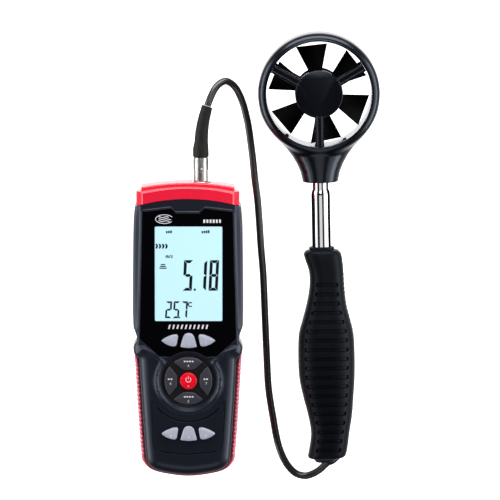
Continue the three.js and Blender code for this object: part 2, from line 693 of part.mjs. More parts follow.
function buildHandle() {
  const bore = lyingRod(HANDLE.bore, HANDLE.boreEnd, -100);
  const bushPocket = lyingRod(BUSH.r + GAP, BUSH.from - GAP, BUSH.to + GAP);
  const screwHoles = HANDLE_SCREWS.map(([x, y]) => rod(1.7, -5, 26, 12).translate(x, y, 0));
  const screwHeads = HANDLE_SCREWS.map(([x, y]) => rod(3.1, -5, 6.4, 16).translate(x, y, 0));
  const body = cut(handleBody(), bore, bushPocket, glandInProbeFrame(), ...screwHoles);
  const half = (z0, z1) => box(-60, 60, -300, 0, z0, z1);
  const front = overlap(body, half(AXIS_Z + GAP / 2, 60));
  const rear = overlap(body, half(-10, AXIS_Z - GAP / 2));
  add(probe, 'handle_front', cut(front, ...slotCutters()), MATERIAL.handle);
  add(probe, 'handle_rear', cut(rear, ...screwHeads), MATERIAL.handle);
  const bush = tube(HANDLE.bore, BUSH.r, BUSH.from, BUSH.to, 16).rotateX(-Math.PI / 2);
  add(probe, 'mast_bush', bush.translate(0, 0, AXIS_Z), MATERIAL.rubber);
  HANDLE_SCREWS.forEach(([x, y], i) => {
    const screw = turned([[0, 4], [2.7, 4], [2.7, 6], [1.35, 6.1], [1.35, 25], [0, 25]], 10);
    add(probe, `handle_screw_${i + 1}`, screw.translate(x, y, 0), MATERIAL.steel);
  });
}

// ---------- probe: mast and head ----------

function mastTube({ r, wall, from, to }, lip) {
  const inner = r - wall;
  const profile = [
    [inner, from], [r, from], [r, to - 1.6], [r - lip, to], [inner, to], [inner, from],
  ];
  return turned(profile, 18).rotateX(-Math.PI / 2).translate(0, 0, AXIS_Z);
}

function buildMast() {
  add(probe, 'mast_outer', mastTube(OUTER_MAST, 0.45), MATERIAL.chrome);
  add(probe, 'mast_inner', mastTube(INNER_MAST, 0.2), MATERIAL.chrome);
}

// [height, half-width, half-thickness] of the neck below the ring
const NECK_STATIONS = [
  [-16, 37.6, 15], [-25, 33.1, 15.6], [-33.4, 27.6, 15.4], [-39, 23.1, 15], [-44.5, 19, 14.4],
  [-50.1, 15.9, 13.7], [-55.6, 13.6, 13], [-61, 12.4, 12.4], [NECK_END, 11.4, 11.4],
];

function neckBody() {
  const rings = NECK_STATIONS.map(([y, half, thick]) => circle(1, 20).map(([a, b]) => [
    a * half, y, AXIS_Z + b * thick,
  ]));
  return cut(loft(rings), rod(RING.inner + 1, -5, 60, 48).translate(0, RING.y, 0));
}

function headHousing() {
  const { outer, inner, rear, depth } = RING;
  const profile = [
    [rear, 0.5], [rear + 1.4, 0], [outer - 2, 1.6], [outer - 0.6, 6.5], [outer, AXIS_Z],
    [outer - 0.6, depth - 6.5], [outer - 2, depth - 1.6], [inner + 0.9, depth],
    [inner, depth - 0.5], [rear, 0.5],
  ];
  const ring = turned(profile, 48).translate(0, RING.y, 0);
  const mastHole = lyingRod(INNER_MAST.r + GAP, -90, INNER_MAST.to + GAP);
  return cut(join(ring, neckBody()), mastHole);
}

const STRUT_TURNS = [30, 150, 270];
const STRUT_HALF = 3;

// A round disc with three struts to the ring, carrying a bearing seat towards the rotor.
function guard({ face, thick, reach, seatTo }) {
  const disc = rod(HUB_R, face, face + thick, 28);
  const seat = rod(4.6, Math.min(seatTo, face + 0.5), Math.max(seatTo, face + thick - 0.5), 16);
  const struts = STRUT_TURNS.map((degrees) => {
    const bar = box(HUB_R - 1.2, reach, -STRUT_HALF, STRUT_HALF, face + 0.3, face + thick - 0.3);
    return bar.rotateZ(THREE.MathUtils.degToRad(degrees));
  });
  const hole = rod(2.9, seatTo - 2.4, seatTo + 2.4, 16);
  return cut(join(disc, seat, ...struts), hole);
}

const ROTOR = { hub: 14.6, tip: 34.8, low: 10.4, high: 24.4, blades: 6, thick: 1.1 };
const BLADE = { // angles from +X, anticlockwise seen from the front
  first: THREE.MathUtils.degToRad(97.7),
  halfAngle: THREE.MathUtils.degToRad(18),
  pitch: THREE.MathUtils.degToRad(28),
};

// A flat blade with a straight tip, pitched about its own radius so its anticlockwise edge is lower.
function blade(turn) {
  const [root, tip] = [ROTOR.hub - 1, ROTOR.tip * Math.cos(BLADE.halfAngle)];
  const half = (r) => (r * Math.tan(BLADE.halfAngle)) / Math.cos(BLADE.pitch);
  const [narrow, wide] = [half(root) * 0.9, half(tip)];
  const outline = [[root, -narrow], [tip, -wide], [tip, wide], [root, narrow]];
  const plate = prism(outline, -ROTOR.thick / 2, ROTOR.thick / 2);
  return plate.rotateX(-BLADE.pitch).rotateZ(turn).translate(0, 0, AXIS_Z);
}

function rotorBody() {
  const { hub, low, high, blades } = ROTOR;
  const [bore, boss, skirt] = [1.3, 4, hub - 1.6];
  const cup = turned([
    [bore, low + 4], [boss, low + 4], [boss, high - 2], [skirt, high - 2], [skirt, low],
    [hub, low], [hub, high], [bore, high], [bore, low + 4],
  ], 24);
  const turns = [...Array(blades).keys()].map((i) => BLADE.first + (i * 2 * Math.PI) / blades);
  const core = rod(skirt - 0.1, low - 5, high - 2.1, 24);
  const open = turns.map((turn) => cut(blade(turn), core));
  return join(cup, ...open);
}

function buildHead() {
  const front = { face: 29.6, thick: 3, reach: 35.9, seatTo: 26.4 };
  const rear = { face: 1.6, thick: 3, reach: 35.2, seatTo: 8.4 };
  const centre = new THREE.Group();
  centre.position.set(0, RING.y, 0);
  probe.add(centre);
  add(probe, 'head_housing', headHousing(), MATERIAL.head);
  add(centre, 'front_guard', guard(front), MATERIAL.head);
  add(centre, 'rear_guard', guard(rear), MATERIAL.head);
  add(centre, 'rotor', rotorBody(), MATERIAL.head);
  add(centre, 'rotor_shaft', rod(1, 6.6, 28, 12), MATERIAL.steel);
  add(centre, 'front_bearing', tube(1.3, 2.6, 26.5, 28.5, 16), MATERIAL.brass);
  add(centre, 'rear_bearing', tube(1.3, 2.6, 6.3, 8.3, 16), MATERIAL.brass);
  add(centre, 'speed_pickup', box(6.5, 10.5, -2.5, 2.5, 4.9, 7.9), MATERIAL.board);
  const bead = rod(0.9, -3, 3, 10).rotateX(Math.PI / 2).translate(0, -25, 5.9);
  add(centre, 'thermistor', bead, MATERIAL.steel);
}

// ---------- assembly ----------

const keys = keyList();
buildHousing(keys);
for (const key of keys) {
  add(meter, key.name, prism(key.outline, KEY_FOOT, key.top), key.material);
}
buildElectronics();
buildBatteries();
buildPlug();
buildHandle();
buildMast();
buildHead();

export default anemometer;
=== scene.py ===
import itertools
import json
import math

import bpy
import bmesh
import numpy as np
from mathutils import Matrix, Vector
from mathutils.geometry import delaunay_2d_cdt


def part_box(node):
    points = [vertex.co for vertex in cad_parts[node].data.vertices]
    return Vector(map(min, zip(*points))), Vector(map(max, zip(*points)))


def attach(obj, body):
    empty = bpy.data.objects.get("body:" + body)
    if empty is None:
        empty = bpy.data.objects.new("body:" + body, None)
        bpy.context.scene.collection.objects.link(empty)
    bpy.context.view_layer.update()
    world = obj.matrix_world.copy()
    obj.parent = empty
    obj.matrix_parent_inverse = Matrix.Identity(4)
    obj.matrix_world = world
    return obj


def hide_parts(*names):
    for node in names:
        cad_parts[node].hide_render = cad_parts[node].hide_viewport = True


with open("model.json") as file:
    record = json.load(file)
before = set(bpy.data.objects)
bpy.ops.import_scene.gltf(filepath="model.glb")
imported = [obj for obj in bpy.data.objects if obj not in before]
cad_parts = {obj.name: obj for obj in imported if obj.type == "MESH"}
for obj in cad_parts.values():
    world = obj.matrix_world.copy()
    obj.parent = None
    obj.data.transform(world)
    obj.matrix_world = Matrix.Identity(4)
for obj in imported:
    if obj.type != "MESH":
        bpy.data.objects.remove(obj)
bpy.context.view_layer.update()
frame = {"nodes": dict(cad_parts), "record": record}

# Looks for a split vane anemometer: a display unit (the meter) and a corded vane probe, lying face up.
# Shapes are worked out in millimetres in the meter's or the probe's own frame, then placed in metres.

MM = 0.001

# ---------- the two frames, read from the CAD model ----------


def box_mm(node):
    return [np.array(corner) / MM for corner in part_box(node)]


def middle(node):
    low, high = box_mm(node)
    return (low + high) / 2


METER = np.array([middle("grip_bumper")[0], box_mm("grip_bumper")[0][1], 0.0])
PROBE_TILT = math.radians(1.1)
RING_Y = -1.4  # the ring's centre along the probe
RING_OFFSET = RING_Y * np.array([-math.sin(PROBE_TILT), math.cos(PROBE_TILT), 0])
HEAD = middle("rotor_shaft") * (1, 1, 0) - RING_OFFSET


def on_meter(points):
    """Points (u, v, z) from the meter's lower end, on its centre line, to metres."""
    return (np.asarray(points, float) + METER) * MM


def on_probe(points):
    """Points (x, y, z) of the probe, y along the mast, to metres."""
    points = np.asarray(points, float)
    turn = np.array(Matrix.Rotation(PROBE_TILT, 3, "Z"))
    return (points @ turn.T + HEAD) * MM


def on_ring(points):
    """Points from the ring's centre, to metres."""
    return on_probe(np.asarray(points, float) + (0, RING_Y, 0))


def in_place(points):
    return np.asarray(points, float) * MM


# ---------- driving dimensions, in millimetres ----------

GAP = 0.3  # between pieces that meet
PARTING_Z = 19.0  # where the meter's front and rear shells meet
FRONT_Z = 38.5
NAV = np.array([0.3, 67.6])  # centre of the round keypad
SIDE_KEY_V = {"upper": 95.3, "lower": 31.1}  # heights of the two rows of three keys
KEY_TOP = {"outer": 41.0, "round": 40.2}
KEY_FOOT = 34.4
KEY_CLEARANCE = 0.45  # round each key, in its hole
LCD = {"u": 0.5, "half": 23.1, "low": 108.8, "high": 173.8}
SOCKET = {"u": 8.8, "z": 20.0}
AXIS_Z = 17.0  # of the mast, and of the ring's middle
RING = {"inner": 36.1, "rear": 35.7, "swell": 5.7, "core": 36.1, "depth": 34.0, "straight": 11.0}
HUB_R = 16.4  # of the guards' discs
NECK_END = -62.7
CORD_R = 2.5

# Half-width of the meter over its height.
SIDE = [
    (0, 0), (1.7, 15.5), (4.6, 25.4), (10, 31), (17, 32.6), (43, 34.5), (71, 36.2), (85, 36.9),
    (90.5, 37.6), (96, 35.5), (101.6, 36.9), (107, 38), (137, 38.1), (174, 37.6), (187.2, 36.5),
]
TOP_RISE = 5.2  # of the arched upper end
GRIP = 3.5  # depth of the side grips
GRIP_TOP = 86.0

# The cord's centre line from the plug's boot to the handle: given points.
CORD_ROUTE = [
    (-33.1, 101.6, 20), (-32, 104.8, 19.6), (-30.5, 108.4, 18.4), (-28.2, 112.8, 16.4),
    (-25, 116.3, 14), (-20.7, 118, 11.4), (-16.5, 115.9, 8.8), (-13.3, 112.2, 6.6),
    (-10.7, 107, 4.8), (-8.4, 100.7, 3.4), (-6.4, 92.7, 2.7), (-4.8, 84.7, 2.6),
    (-2.3, 65.8, 2.6), (-0.6, 49.2, 2.6), (1.2, 35.3, 2.6), (2.5, 18.6, 2.6),
    (3.6, 2, 2.6), (5, -14.7, 2.6), (5.9, -34.1, 2.6), (6.7, -53.5, 2.6),
    (7.7, -75.7, 2.6), (8.6, -93.1, 2.6), (10.3, -106.2, 2.6), (12.2, -117.3, 2.6),
    (13.7, -126.2, 2.6), (15.7, -135, 2.6), (18.8, -143.4, 2.6), (22.8, -150.1, 2.7),
    (28, -154.9, 3), (34.2, -156.4, 3.6), (39.5, -154.8, 4.6), (43.9, -152, 5.8),
    (47.4, -148.7, 7.1), (50, -146.2, 8.2),
]

# ---------- small maths ----------


def smoothstep(x, low, high):
    t = np.clip((np.asarray(x, float) - low) / (high - low), 0, 1)
    return t * t * (3 - 2 * t)


def mix(a, b, t):
    return a + (b - a) * t


def through(points, per_span=8):
    """A smooth path through points."""
    p = np.asarray(points, float)
    p = np.vstack([2 * p[0] - p[1], p, 2 * p[-1] - p[-2]])
    t = np.linspace(0, 1, per_span, endpoint=False)[:, None]
    spans = []
    for a, b, c, d in zip(p, p[1:], p[2:], p[3:]):
        spans.append(0.5 * (2 * b + (c - a) * t + (2 * a - 5 * b + 4 * c - d) * t**2
                            + (3 * b - a - 3 * c + d) * t**3))
    return np.vstack([*spans, p[-2]])


def evened(path, spacing, loop=False):
    """The same path with points about spacing apart."""
    path = np.asarray(path, float)
    if loop:
        path = np.vstack([path, path[0]])
    far = np.concatenate([[0], np.cumsum(np.linalg.norm(np.diff(path, axis=0), axis=1))])
    count = max(3, round(far[-1] / spacing))
    at = np.linspace(0, far[-1], count + 1)
    made = np.column_stack([np.interp(at, far, path[:, k]) for k in range(path.shape[1])])
    return made[:-1] if loop else made


def rounded(corners, radius, steps=6):
    """A loop through straight sides, with its corners rounded off."""
    points = []
    corners = np.asarray(corners, float)
    for before, here, after in zip(np.roll(corners, 1, 0), corners, np.roll(corners, -1, 0)):
        start = here + (before - here) / np.linalg.norm(before - here) * radius
        end = here + (after - here) / np.linalg.norm(after - here) * radius
        for t in np.linspace(0, 1, steps + 1):
            points.append((1 - t) ** 2 * start + 2 * t * (1 - t) * here + t**2 * end)
    return np.array(points)


def arc(r, start, end, steps, centre=(0, 0)):
    a = np.linspace(start, end, steps)
    return np.column_stack([centre[0] + r * np.cos(a), centre[1] + r * np.sin(a)])


def circle(r, steps, centre=(0, 0)):
    return arc(r, 0, 2 * math.pi, steps + 1, centre)[:-1]


def ways(path):
    """The unit direction of travel at each point of a path."""
    along = np.gradient(path, axis=0)
    return along / np.linalg.norm(along, axis=1, keepdims=True)


def spoke(turn):
    """Unit vectors away from the middle and across, for a turn in radians."""
    return np.array([math.cos(turn), math.sin(turn)]), np.array([-math.sin(turn), math.cos(turn)])


def inwards(loop, reach):
    """Moves each point of a counter-clockwise loop inwards by reach, a number or one per point."""
    loop = np.asarray(loop, float)
    along = np.roll(loop, -1, 0) - np.roll(loop, 1, 0)
    along /= np.maximum(np.linalg.norm(along, axis=1, keepdims=True), 1e-9)
    normal = np.column_stack([-along[:, 1], along[:, 0]])
    return loop + normal * np.reshape(reach * np.ones(len(loop)), (-1, 1))


def inside(points, loop):
    """Which points lie within a loop."""
    x, y = points[:, 0:1], points[:, 1:2]
    ax, ay = loop[:, 0], loop[:, 1]
    bx, by = np.roll(ax, -1), np.roll(ay, -1)
    spans = (ay > y) != (by > y)
    rise = np.where(by == ay, 1e-12, by - ay)
    return (spans & (x < (bx - ax) * (y - ay) / rise + ax)).sum(axis=1) % 2 == 1


def distance_to(points, path, loop=True):
    """Distance in the plane from each point to a path."""
    ends = np.roll(path, -1, 0) if loop else path[1:]
    starts = path if loop else path[:-1]
    best = np.full(len(points), np.inf)
    for a, b in zip(starts, ends):
        ab = b - a
        t = np.clip((points - a) @ ab / max(ab @ ab, 1e-12), 0, 1)
        best = np.minimum(best, np.linalg.norm(points - (a + t[:, None] * ab), axis=1))
    return best


def lifted(loop, z):
    """A flat loop at height z, a number or one per point."""
    loop = np.asarray(loop, float)
    return np.column_stack([loop, z * np.ones(len(loop))])


# ---------- mesh building ----------


class Skin:
    """Points in millimetres and the faces between them, each face with a material number."""

    def __init__(self):
        self.points = []
        self.faces = []
        self.looks = []
        self.count = 0

    def add(self, points):
        points = np.asarray(points, float)
        self.points.append(points)
        self.count += len(points)
        return list(range(self.count - len(points), self.count))

    def face(self, corners, look=0):
        self.faces.append(tuple(corners))
        self.looks.append(look)

    def bridge(self, a, b, look=0, loop=True):
        for i in range(len(a) if loop else len(a) - 1):
            j = (i + 1) % len(a)
            self.face((a[i], a[j], b[j], b[i]), look)

    def loft(self, rings, look=0, caps=(False, False), loop=True):
        made = [self.add(ring) for ring in rings]
        for a, b in zip(made, made[1:]):
            self.bridge(a, b, look, loop)
        if caps[0]:
            self.face(made[0][::-1], look)
        if caps[1]:
            self.face(made[-1], look)
        return made

    def lathe(self, profile, steps=64, centre=(0, 0), axis="z"):
        """A round piece from an (r, height) profile; a profile that ends on the axis closes itself."""
        rings = []
        for r, z in profile:
            ring = lifted(circle(max(r, 1e-4), steps, centre), z)
            rings.append(ring if axis == "z" else ring[:, [0, 2, 1]])
        self.loft(rings)

    def sheet(self, outer, holes, spacing, height):
        """Fills the region between flat loops with small triangles, lifted to height(u, v)."""
        loops = [np.asarray(loop, float) for loop in (outer, *holes)]
        low, high = loops[0].min(0), loops[0].max(0)
        grid = np.array([
            (u + (row % 2) * spacing / 2, v)
            for row, v in enumerate(np.arange(low[1], high[1], spacing * 0.87))
            for u in np.arange(low[0], high[0], spacing)
        ])
        keep = inside(grid, loops[0])
        for loop in loops[1:]:
            keep &= ~inside(grid, loop)
        grid = grid[keep]
        for loop in loops:
            grid = grid[distance_to(grid, loop) > spacing * 0.55]
        edges, start = [], 0
        for loop in loops:
            n = len(loop)
            edges += [(start + i, start + (i + 1) % n) for i in range(n)]
            start += n
        flat = [Vector(p) for p in np.vstack([*loops, grid])]
        points, _, faces, *_ = delaunay_2d_cdt(flat, edges, [], 0, 1e-7)
        points = np.array(points)
        middles = np.array([points[list(face)].mean(0) for face in faces])
        good = inside(middles, loops[0])
        for loop in loops[1:]:
            good &= ~inside(middles, loop)
        index = self.add(lifted(points, height(points[:, 0], points[:, 1])))
        for face, kept in zip(faces, good):
            if kept:
                self.face([index[k] for k in face])

    def prism(self, loop, z0, z1):
        self.loft([lifted(loop, z0), lifted(loop, z1)], caps=(True, True))

    def tile(self, low, size, z0, z1, slant=0.0):
        """A small block with its lower left corner at low, its top leaning right by slant."""
        wide, high = size
        loop = np.array([(0, 0), (wide, 0), (wide + slant, high), (slant, high)])
        self.prism(loop + low, z0, z1)

    def well(self, loop, height, bottom, lip, floor=True):
        """A hole's wall down from the surface, with a rounded lip. Returns the loop for the sheet."""
        outer, start, half = (inwards(loop, -reach) for reach in (lip + 0.15, lip, lip * 0.3))
        z = height(outer[:, 0], outer[:, 1])
        rings = [lifted(outer, z), lifted(start, z), lifted(half, z - lip * 0.3), lifted(loop, z - lip),
                 lifted(loop, bottom)]
        made = self.loft(rings)
        if floor:
            self.face(made[-1])
        return outer

    def pillow(self, loop, z0, z1, edge, crown):
        """A key: straight sides, a rounded edge (material 1) and a slightly crowned top."""
        self.loft([lifted(loop, z0), lifted(loop, z1 - edge)], caps=(True, False))
        self.loft([
            lifted(inwards(loop, edge * (1 - math.cos(a))), z1 - edge + edge * math.sin(a))
            for a in np.radians([0, 22, 45, 68, 90])
        ], look=1)
        top = inwards(loop, edge)
        self.loft([
            lifted(mix(top, loop.mean(0), t), z1 + crown * (1 - (1 - t) ** 2))
            for t in np.linspace(0, 0.92, 6)
        ], caps=(False, True))

    def write(self, text, size, centre, z, thick):
        """Raised characters, centred on a point, reading along +X."""
        data = bpy.data.curves.new("characters", "FONT")
        data.body = text
        data.size = size
        data.align_x, data.align_y = "CENTER", "CENTER"
        data.extrude = thick / 2
        writer = bpy.data.objects.new("characters", data)
        bpy.context.collection.objects.link(writer)
        mesh = writer.to_mesh()
        points = np.array([v.co[:] for v in mesh.vertices])
        index = self.add(points + (centre[0], centre[1], z + thick / 2))
        for polygon in mesh.polygons:
            self.face([index[k] for k in polygon.vertices])
        writer.to_mesh_clear()
        bpy.data.objects.remove(writer)
        bpy.data.curves.remove(data)


def solid(rings):
    """A closed skin through rings, with both ends capped."""
    skin = Skin()
    skin.loft(rings, caps=(True, True))
    return skin


def mesh_object(name, skin, place):
    mesh = bpy.data.meshes.new(name)
    mesh.from_pydata(place(np.vstack(skin.points)).tolist(), [], skin.faces)
    mesh.polygons.foreach_set("material_index", skin.looks)
    bm = bmesh.new()
    bm.from_mesh(mesh)
    bmesh.ops.remove_doubles(bm, verts=bm.verts, dist=2e-6)
    bmesh.ops.recalc_face_normals(bm, faces=bm.faces)
    bm.to_mesh(mesh)
    bm.free()
    obj = bpy.data.objects.new(name, mesh)
    bpy.context.collection.objects.link(obj)
    return obj


def carve(obj, skin, place, how="DIFFERENCE"):
    """Cuts a closed skin out of an object, or keeps what they share."""
    tool = mesh_object("tool", skin, place)
    cut = obj.modifiers.new("cut", "BOOLEAN")
    cut.operation, cut.solver, cut.object = how, "EXACT", tool
    mesh = bpy.data.meshes.new_from_object(obj.evaluated_get(bpy.context.evaluated_depsgraph_get()))
    obj.modifiers.clear()
    obj.data = mesh
    bpy.data.objects.remove(tool)
    if not mesh.polygons:
        raise ValueError(obj.name + " has no faces left")


def piece(name, skin, place, body, materials, replaces=None, sharp=38, cuts=(), keep=()):
    """An object from a skin, riding on a CAD body; edges over sharp degrees stay sharp."""
    obj = mesh_object(name, skin, place)
    for tool in cuts:
        carve(obj, tool, place)
    for tool in keep:
        carve(obj, tool, place, "INTERSECT")
    return finish_piece(obj, body, materials, replaces, sharp)


def finish_piece(obj, body, materials, replaces, sharp):
    obj.data.name = obj.name
    obj.data.shade_smooth()
    obj.data.set_sharp_from_angle(angle=math.radians(sharp))
    obj.data.materials.clear()
    for material in materials if isinstance(materials, (list, tuple)) else [materials]:
        obj.data.materials.append(material)
    return settle(obj, body, replaces)


def settle(obj, body, replaces):
    """Ties a piece to its body and the CAD node that it replaces."""
    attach(obj, body)
    if replaces:
        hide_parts(replaces)
    return obj


# ---------- surfaces from a field, for the flowing shapes ----------

RELAX_ROUNDS = 2


def smooth_max(a, b, k):
    """The greater of two, blended over a width k where they are close."""
    h = np.clip(0.5 + (a - b) / (2 * k), 0, 1)
    return mix(b, a, h) + k * h * (1 - h)


def smooth_min(a, b, k):
    return -smooth_max(-a, -b, k)


def settle_on(field, points, steps, most):
    """Moves points onto the surface where the field is zero."""
    e = 1e-3
    for _ in range(steps):
        x, y, z = points.T
        value = field(x, y, z)
        slope = np.column_stack([
            field(x + e, y, z) - value, field(x, y + e, z) - value, field(x, y, z + e) - value,
        ]) / e
        move = -slope * (value / np.maximum((slope**2).sum(1), 1e-6))[:, None]
        length = np.maximum(np.linalg.norm(move, axis=1, keepdims=True), 1e-12)
        points = points + move * np.minimum(1, most / length)
    return points


def field_skin(field, low, high, cell):
    """A closed skin of four-sided faces over the region where the field is negative."""
    axes = [np.arange(a - 1.5 * cell, b + 2.5 * cell, cell) for a, b in zip(low, high)]
    within = field(*np.meshgrid(*axes, indexing="ij")) < 0
    n = within.shape
    full = sum(
        within[i:n[0] - 1 + i, j:n[1] - 1 + j, k:n[2] - 1 + k].astype(np.int8)
        for i, j, k in itertools.product((0, 1), repeat=3)
    )
    active = (full > 0) & (full < 8)
    index = np.full(active.shape, -1)
    index[active] = np.arange(active.sum())
    cells = np.argwhere(active)
    points = np.column_stack([axes[k][cells[:, k]] + cell / 2 for k in range(3)])
    quads = []
    for axis in range(3):
        p, q = [k for k in range(3) if k != axis]
        a = np.take(within, range(n[axis] - 1), axis)
        b = np.take(within, range(1, n[axis]), axis)
        edges = np.argwhere(a != b)
        edges = edges[(edges[:, p] > 0) & (edges[:, q] > 0)]
        corner = []
        for dp, dq in ((0, 0), (1, 0), (1, 1), (0, 1)):
            at = edges.copy()
            at[:, p] -= dp
            at[:, q] -= dq
            corner.append(index[tuple(at.T)])
        quads.append(np.column_stack(corner))
    quads = np.vstack(quads)
    points = settle_on(field, points, 4, cell)
    for _ in range(RELAX_ROUNDS):
        total, share = np.zeros_like(points), np.zeros(len(points))
        for k in range(4):
            for other in (quads[:, (k + 1) % 4], quads[:, (k + 3) % 4]):
                np.add.at(total, quads[:, k], points[other])
                np.add.at(share, quads[:, k], 1)
        points = settle_on(field, mix(points, total / share[:, None], 0.6), 2, cell)
    skin = Skin()
    skin.add(points)
    skin.faces = [tuple(quad) for quad in quads.tolist()]
    skin.looks = [0] * len(skin.faces)
    return skin


# ---------- materials ----------


def srgb(*values):
    """Display values from 0 to 255 to the shader's linear ones."""
    return tuple(((v / 255 + 0.055) / 1.055) ** 2.4 if v > 10 else v / 255 / 12.92 for v in values)


def tint(colour, factor):
    return tuple(min(1.0, c * factor) for c in colour) + (1.0,)


def noise(nodes, links, scale):
    """A noise texture in the object's own coordinates."""
    place = nodes.new("ShaderNodeTexCoord")
    made = nodes.new("ShaderNodeTexNoise")
    made.inputs["Scale"].default_value = scale
    made.inputs["Detail"].default_value = 2.0
    links.new(place.outputs["Object"], made.inputs["Vector"])
    return made


def surface(name, colour, rough, metal=0.0, grain=2500, bump=0.08, mottle=0.05, uneven=0.06,
            coat=0.0, specular=0.5, gloss_tint=(1, 1, 1), glow=None):
    """A moulded, turned or plated surface: mottled colour, uneven gloss and a fine grain."""
    material = bpy.data.materials.new(name)
    material.use_nodes = True
    nodes, links = material.node_tree.nodes, material.node_tree.links
    shader = nodes["Principled BSDF"]
    shader.inputs["Metallic"].default_value = metal
    shader.inputs["Coat Weight"].default_value = coat
    shader.inputs["Coat Roughness"].default_value = 0.1
    shader.inputs["Specular IOR Level"].default_value = specular
    shader.inputs["Specular Tint"].default_value = (*gloss_tint, 1.0)
    blotch = noise(nodes, links, grain * 0.05)
    ramp = nodes.new("ShaderNodeValToRGB")
    ramp.color_ramp.elements[0].position = 0.3
    ramp.color_ramp.elements[1].position = 0.7
    ramp.color_ramp.elements[0].color = tint(colour, 1 - mottle)
    ramp.color_ramp.elements[1].color = tint(colour, 1 + mottle)
    links.new(blotch.outputs["Fac"], ramp.inputs["Fac"])
    links.new(ramp.outputs["Color"], shader.inputs["Base Color"])
    fine = noise(nodes, links, grain)
    gloss = nodes.new("ShaderNodeMapRange")
    gloss.inputs["To Min"].default_value = max(0.02, rough - uneven)
    gloss.inputs["To Max"].default_value = min(1.0, rough + uneven)
    links.new(fine.outputs["Fac"], gloss.inputs["Value"])
    links.new(gloss.outputs["Result"], shader.inputs["Roughness"])
    if bump:
        relief = nodes.new("ShaderNodeBump")
        relief.inputs["Strength"].default_value = bump
        relief.inputs["Distance"].default_value = 0.0002
        links.new(fine.outputs["Fac"], relief.inputs["Height"])
        links.new(relief.outputs["Normal"], shader.inputs["Normal"])
    if glow:
        shader.inputs["Emission Color"].default_value = (*colour, 1.0)
        shader.inputs["Emission Strength"].default_value = glow
    return material


# Painted dark reflection: the colour that the chrome's sides are darkened to.
PAINTED_DARK_REFLECTION = (0.06, 0.06, 0.065, 1)


def paint_dark_reflection(material, start, end):
    """A polished tube's colour is darkened towards its sides as a painted dark reflection, from facing weight
    start to end.
    """
    nodes, links = material.node_tree.nodes, material.node_tree.links
    shader = next(n for n in nodes if n.type == "BSDF_PRINCIPLED")
    weight = nodes.new("ShaderNodeLayerWeight")
    weight.inputs["Blend"].default_value = 0.5
    share = nodes.new("ShaderNodeMapRange")
    share.interpolation_type = "SMOOTHSTEP"
    share.inputs["From Min"].default_value = start
    share.inputs["From Max"].default_value = end
    links.new(weight.outputs["Facing"], share.inputs["Value"])
    mixer = nodes.new("ShaderNodeMix")
    mixer.data_type = "RGBA"
    links.new(share.outputs["Result"], mixer.inputs["Factor"])
    base = shader.inputs["Base Color"]
    links.new(base.links[0].from_socket, mixer.inputs["A"])
    mixer.inputs["B"].default_value = PAINTED_DARK_REFLECTION
    links.new(mixer.outputs["Result"], base)


COOL = (0.72, 0.83, 1.0)
SHELL = surface("satin_slate_plastic", srgb(24, 25, 36), 0.32, grain=3000, bump=0.03, gloss_tint=COOL)
PANEL = surface("satin_panel_plastic", srgb(21, 23, 32), 0.36, grain=3000, bump=0.03, specular=0.4,
                gloss_tint=COOL)
RED = surface("red_cap_plastic", srgb(240, 30, 60), 0.26, grain=2600, bump=0.02, mottle=0.03, coat=0.1)
RUBBER_RED = surface("red_grip_rubber", srgb(228, 104, 126), 0.45, grain=2200, bump=0.15)
BLACK_GLOSS = surface("black_window", srgb(4, 4, 7), 0.05, bump=0, uneven=0.02, specular=0.3)
# Black bed under the round keypad: its own black, and also painted shade for the gaps between and round the
# keys.
BLACK_BED_AND_SHADE = surface("black_well_and_painted_shade", srgb(9, 9, 12), 0.5, bump=0.05)
LCD_PALE = surface("display_pale", srgb(166, 202, 213), 0.25, bump=0, mottle=0.01, specular=0.2, glow=0.66)
LCD_RIM = surface("display_rim", srgb(200, 226, 230), 0.3, bump=0, mottle=0.01, specular=0.2, glow=0.8)
LCD_INK = surface("display_ink", srgb(12, 16, 22), 0.4, bump=0, specular=0.2)
KEY_LIGHT = surface("light_key", srgb(180, 184, 201), 0.36, grain=2600, bump=0.03)
# The keys' rounded edges: on the dark keys a painted highlight, much paler than the key; on the light keys a
# slightly greyer band.
KEY_EDGE_HIGHLIGHT = surface("key_edge_painted_highlight", srgb(172, 174, 186), 0.3, bump=0.02)
KEY_DARK = surface("dark_key", srgb(60, 58, 68), 0.34, grain=2600, bump=0.03, specular=0.4)
KEY_RED = surface("red_key", srgb(244, 14, 40), 0.25, bump=0.02, coat=0.1)
INK_WHITE = surface("white_print", srgb(232, 232, 236), 0.5, bump=0)
NICKEL = surface("satin_nickel", srgb(190, 190, 186), 0.3, metal=1.0, grain=4000, bump=0.25, mottle=0.1)
STEEL = surface("bright_steel", srgb(190, 190, 192), 0.25, metal=1.0, grain=4000, bump=0.05)
CHROME = surface("chrome_tube", srgb(226, 226, 228), 0.07, metal=1.0, grain=1500, bump=0.01, uneven=0.02,
                 gloss_tint=(0, 0, 0))
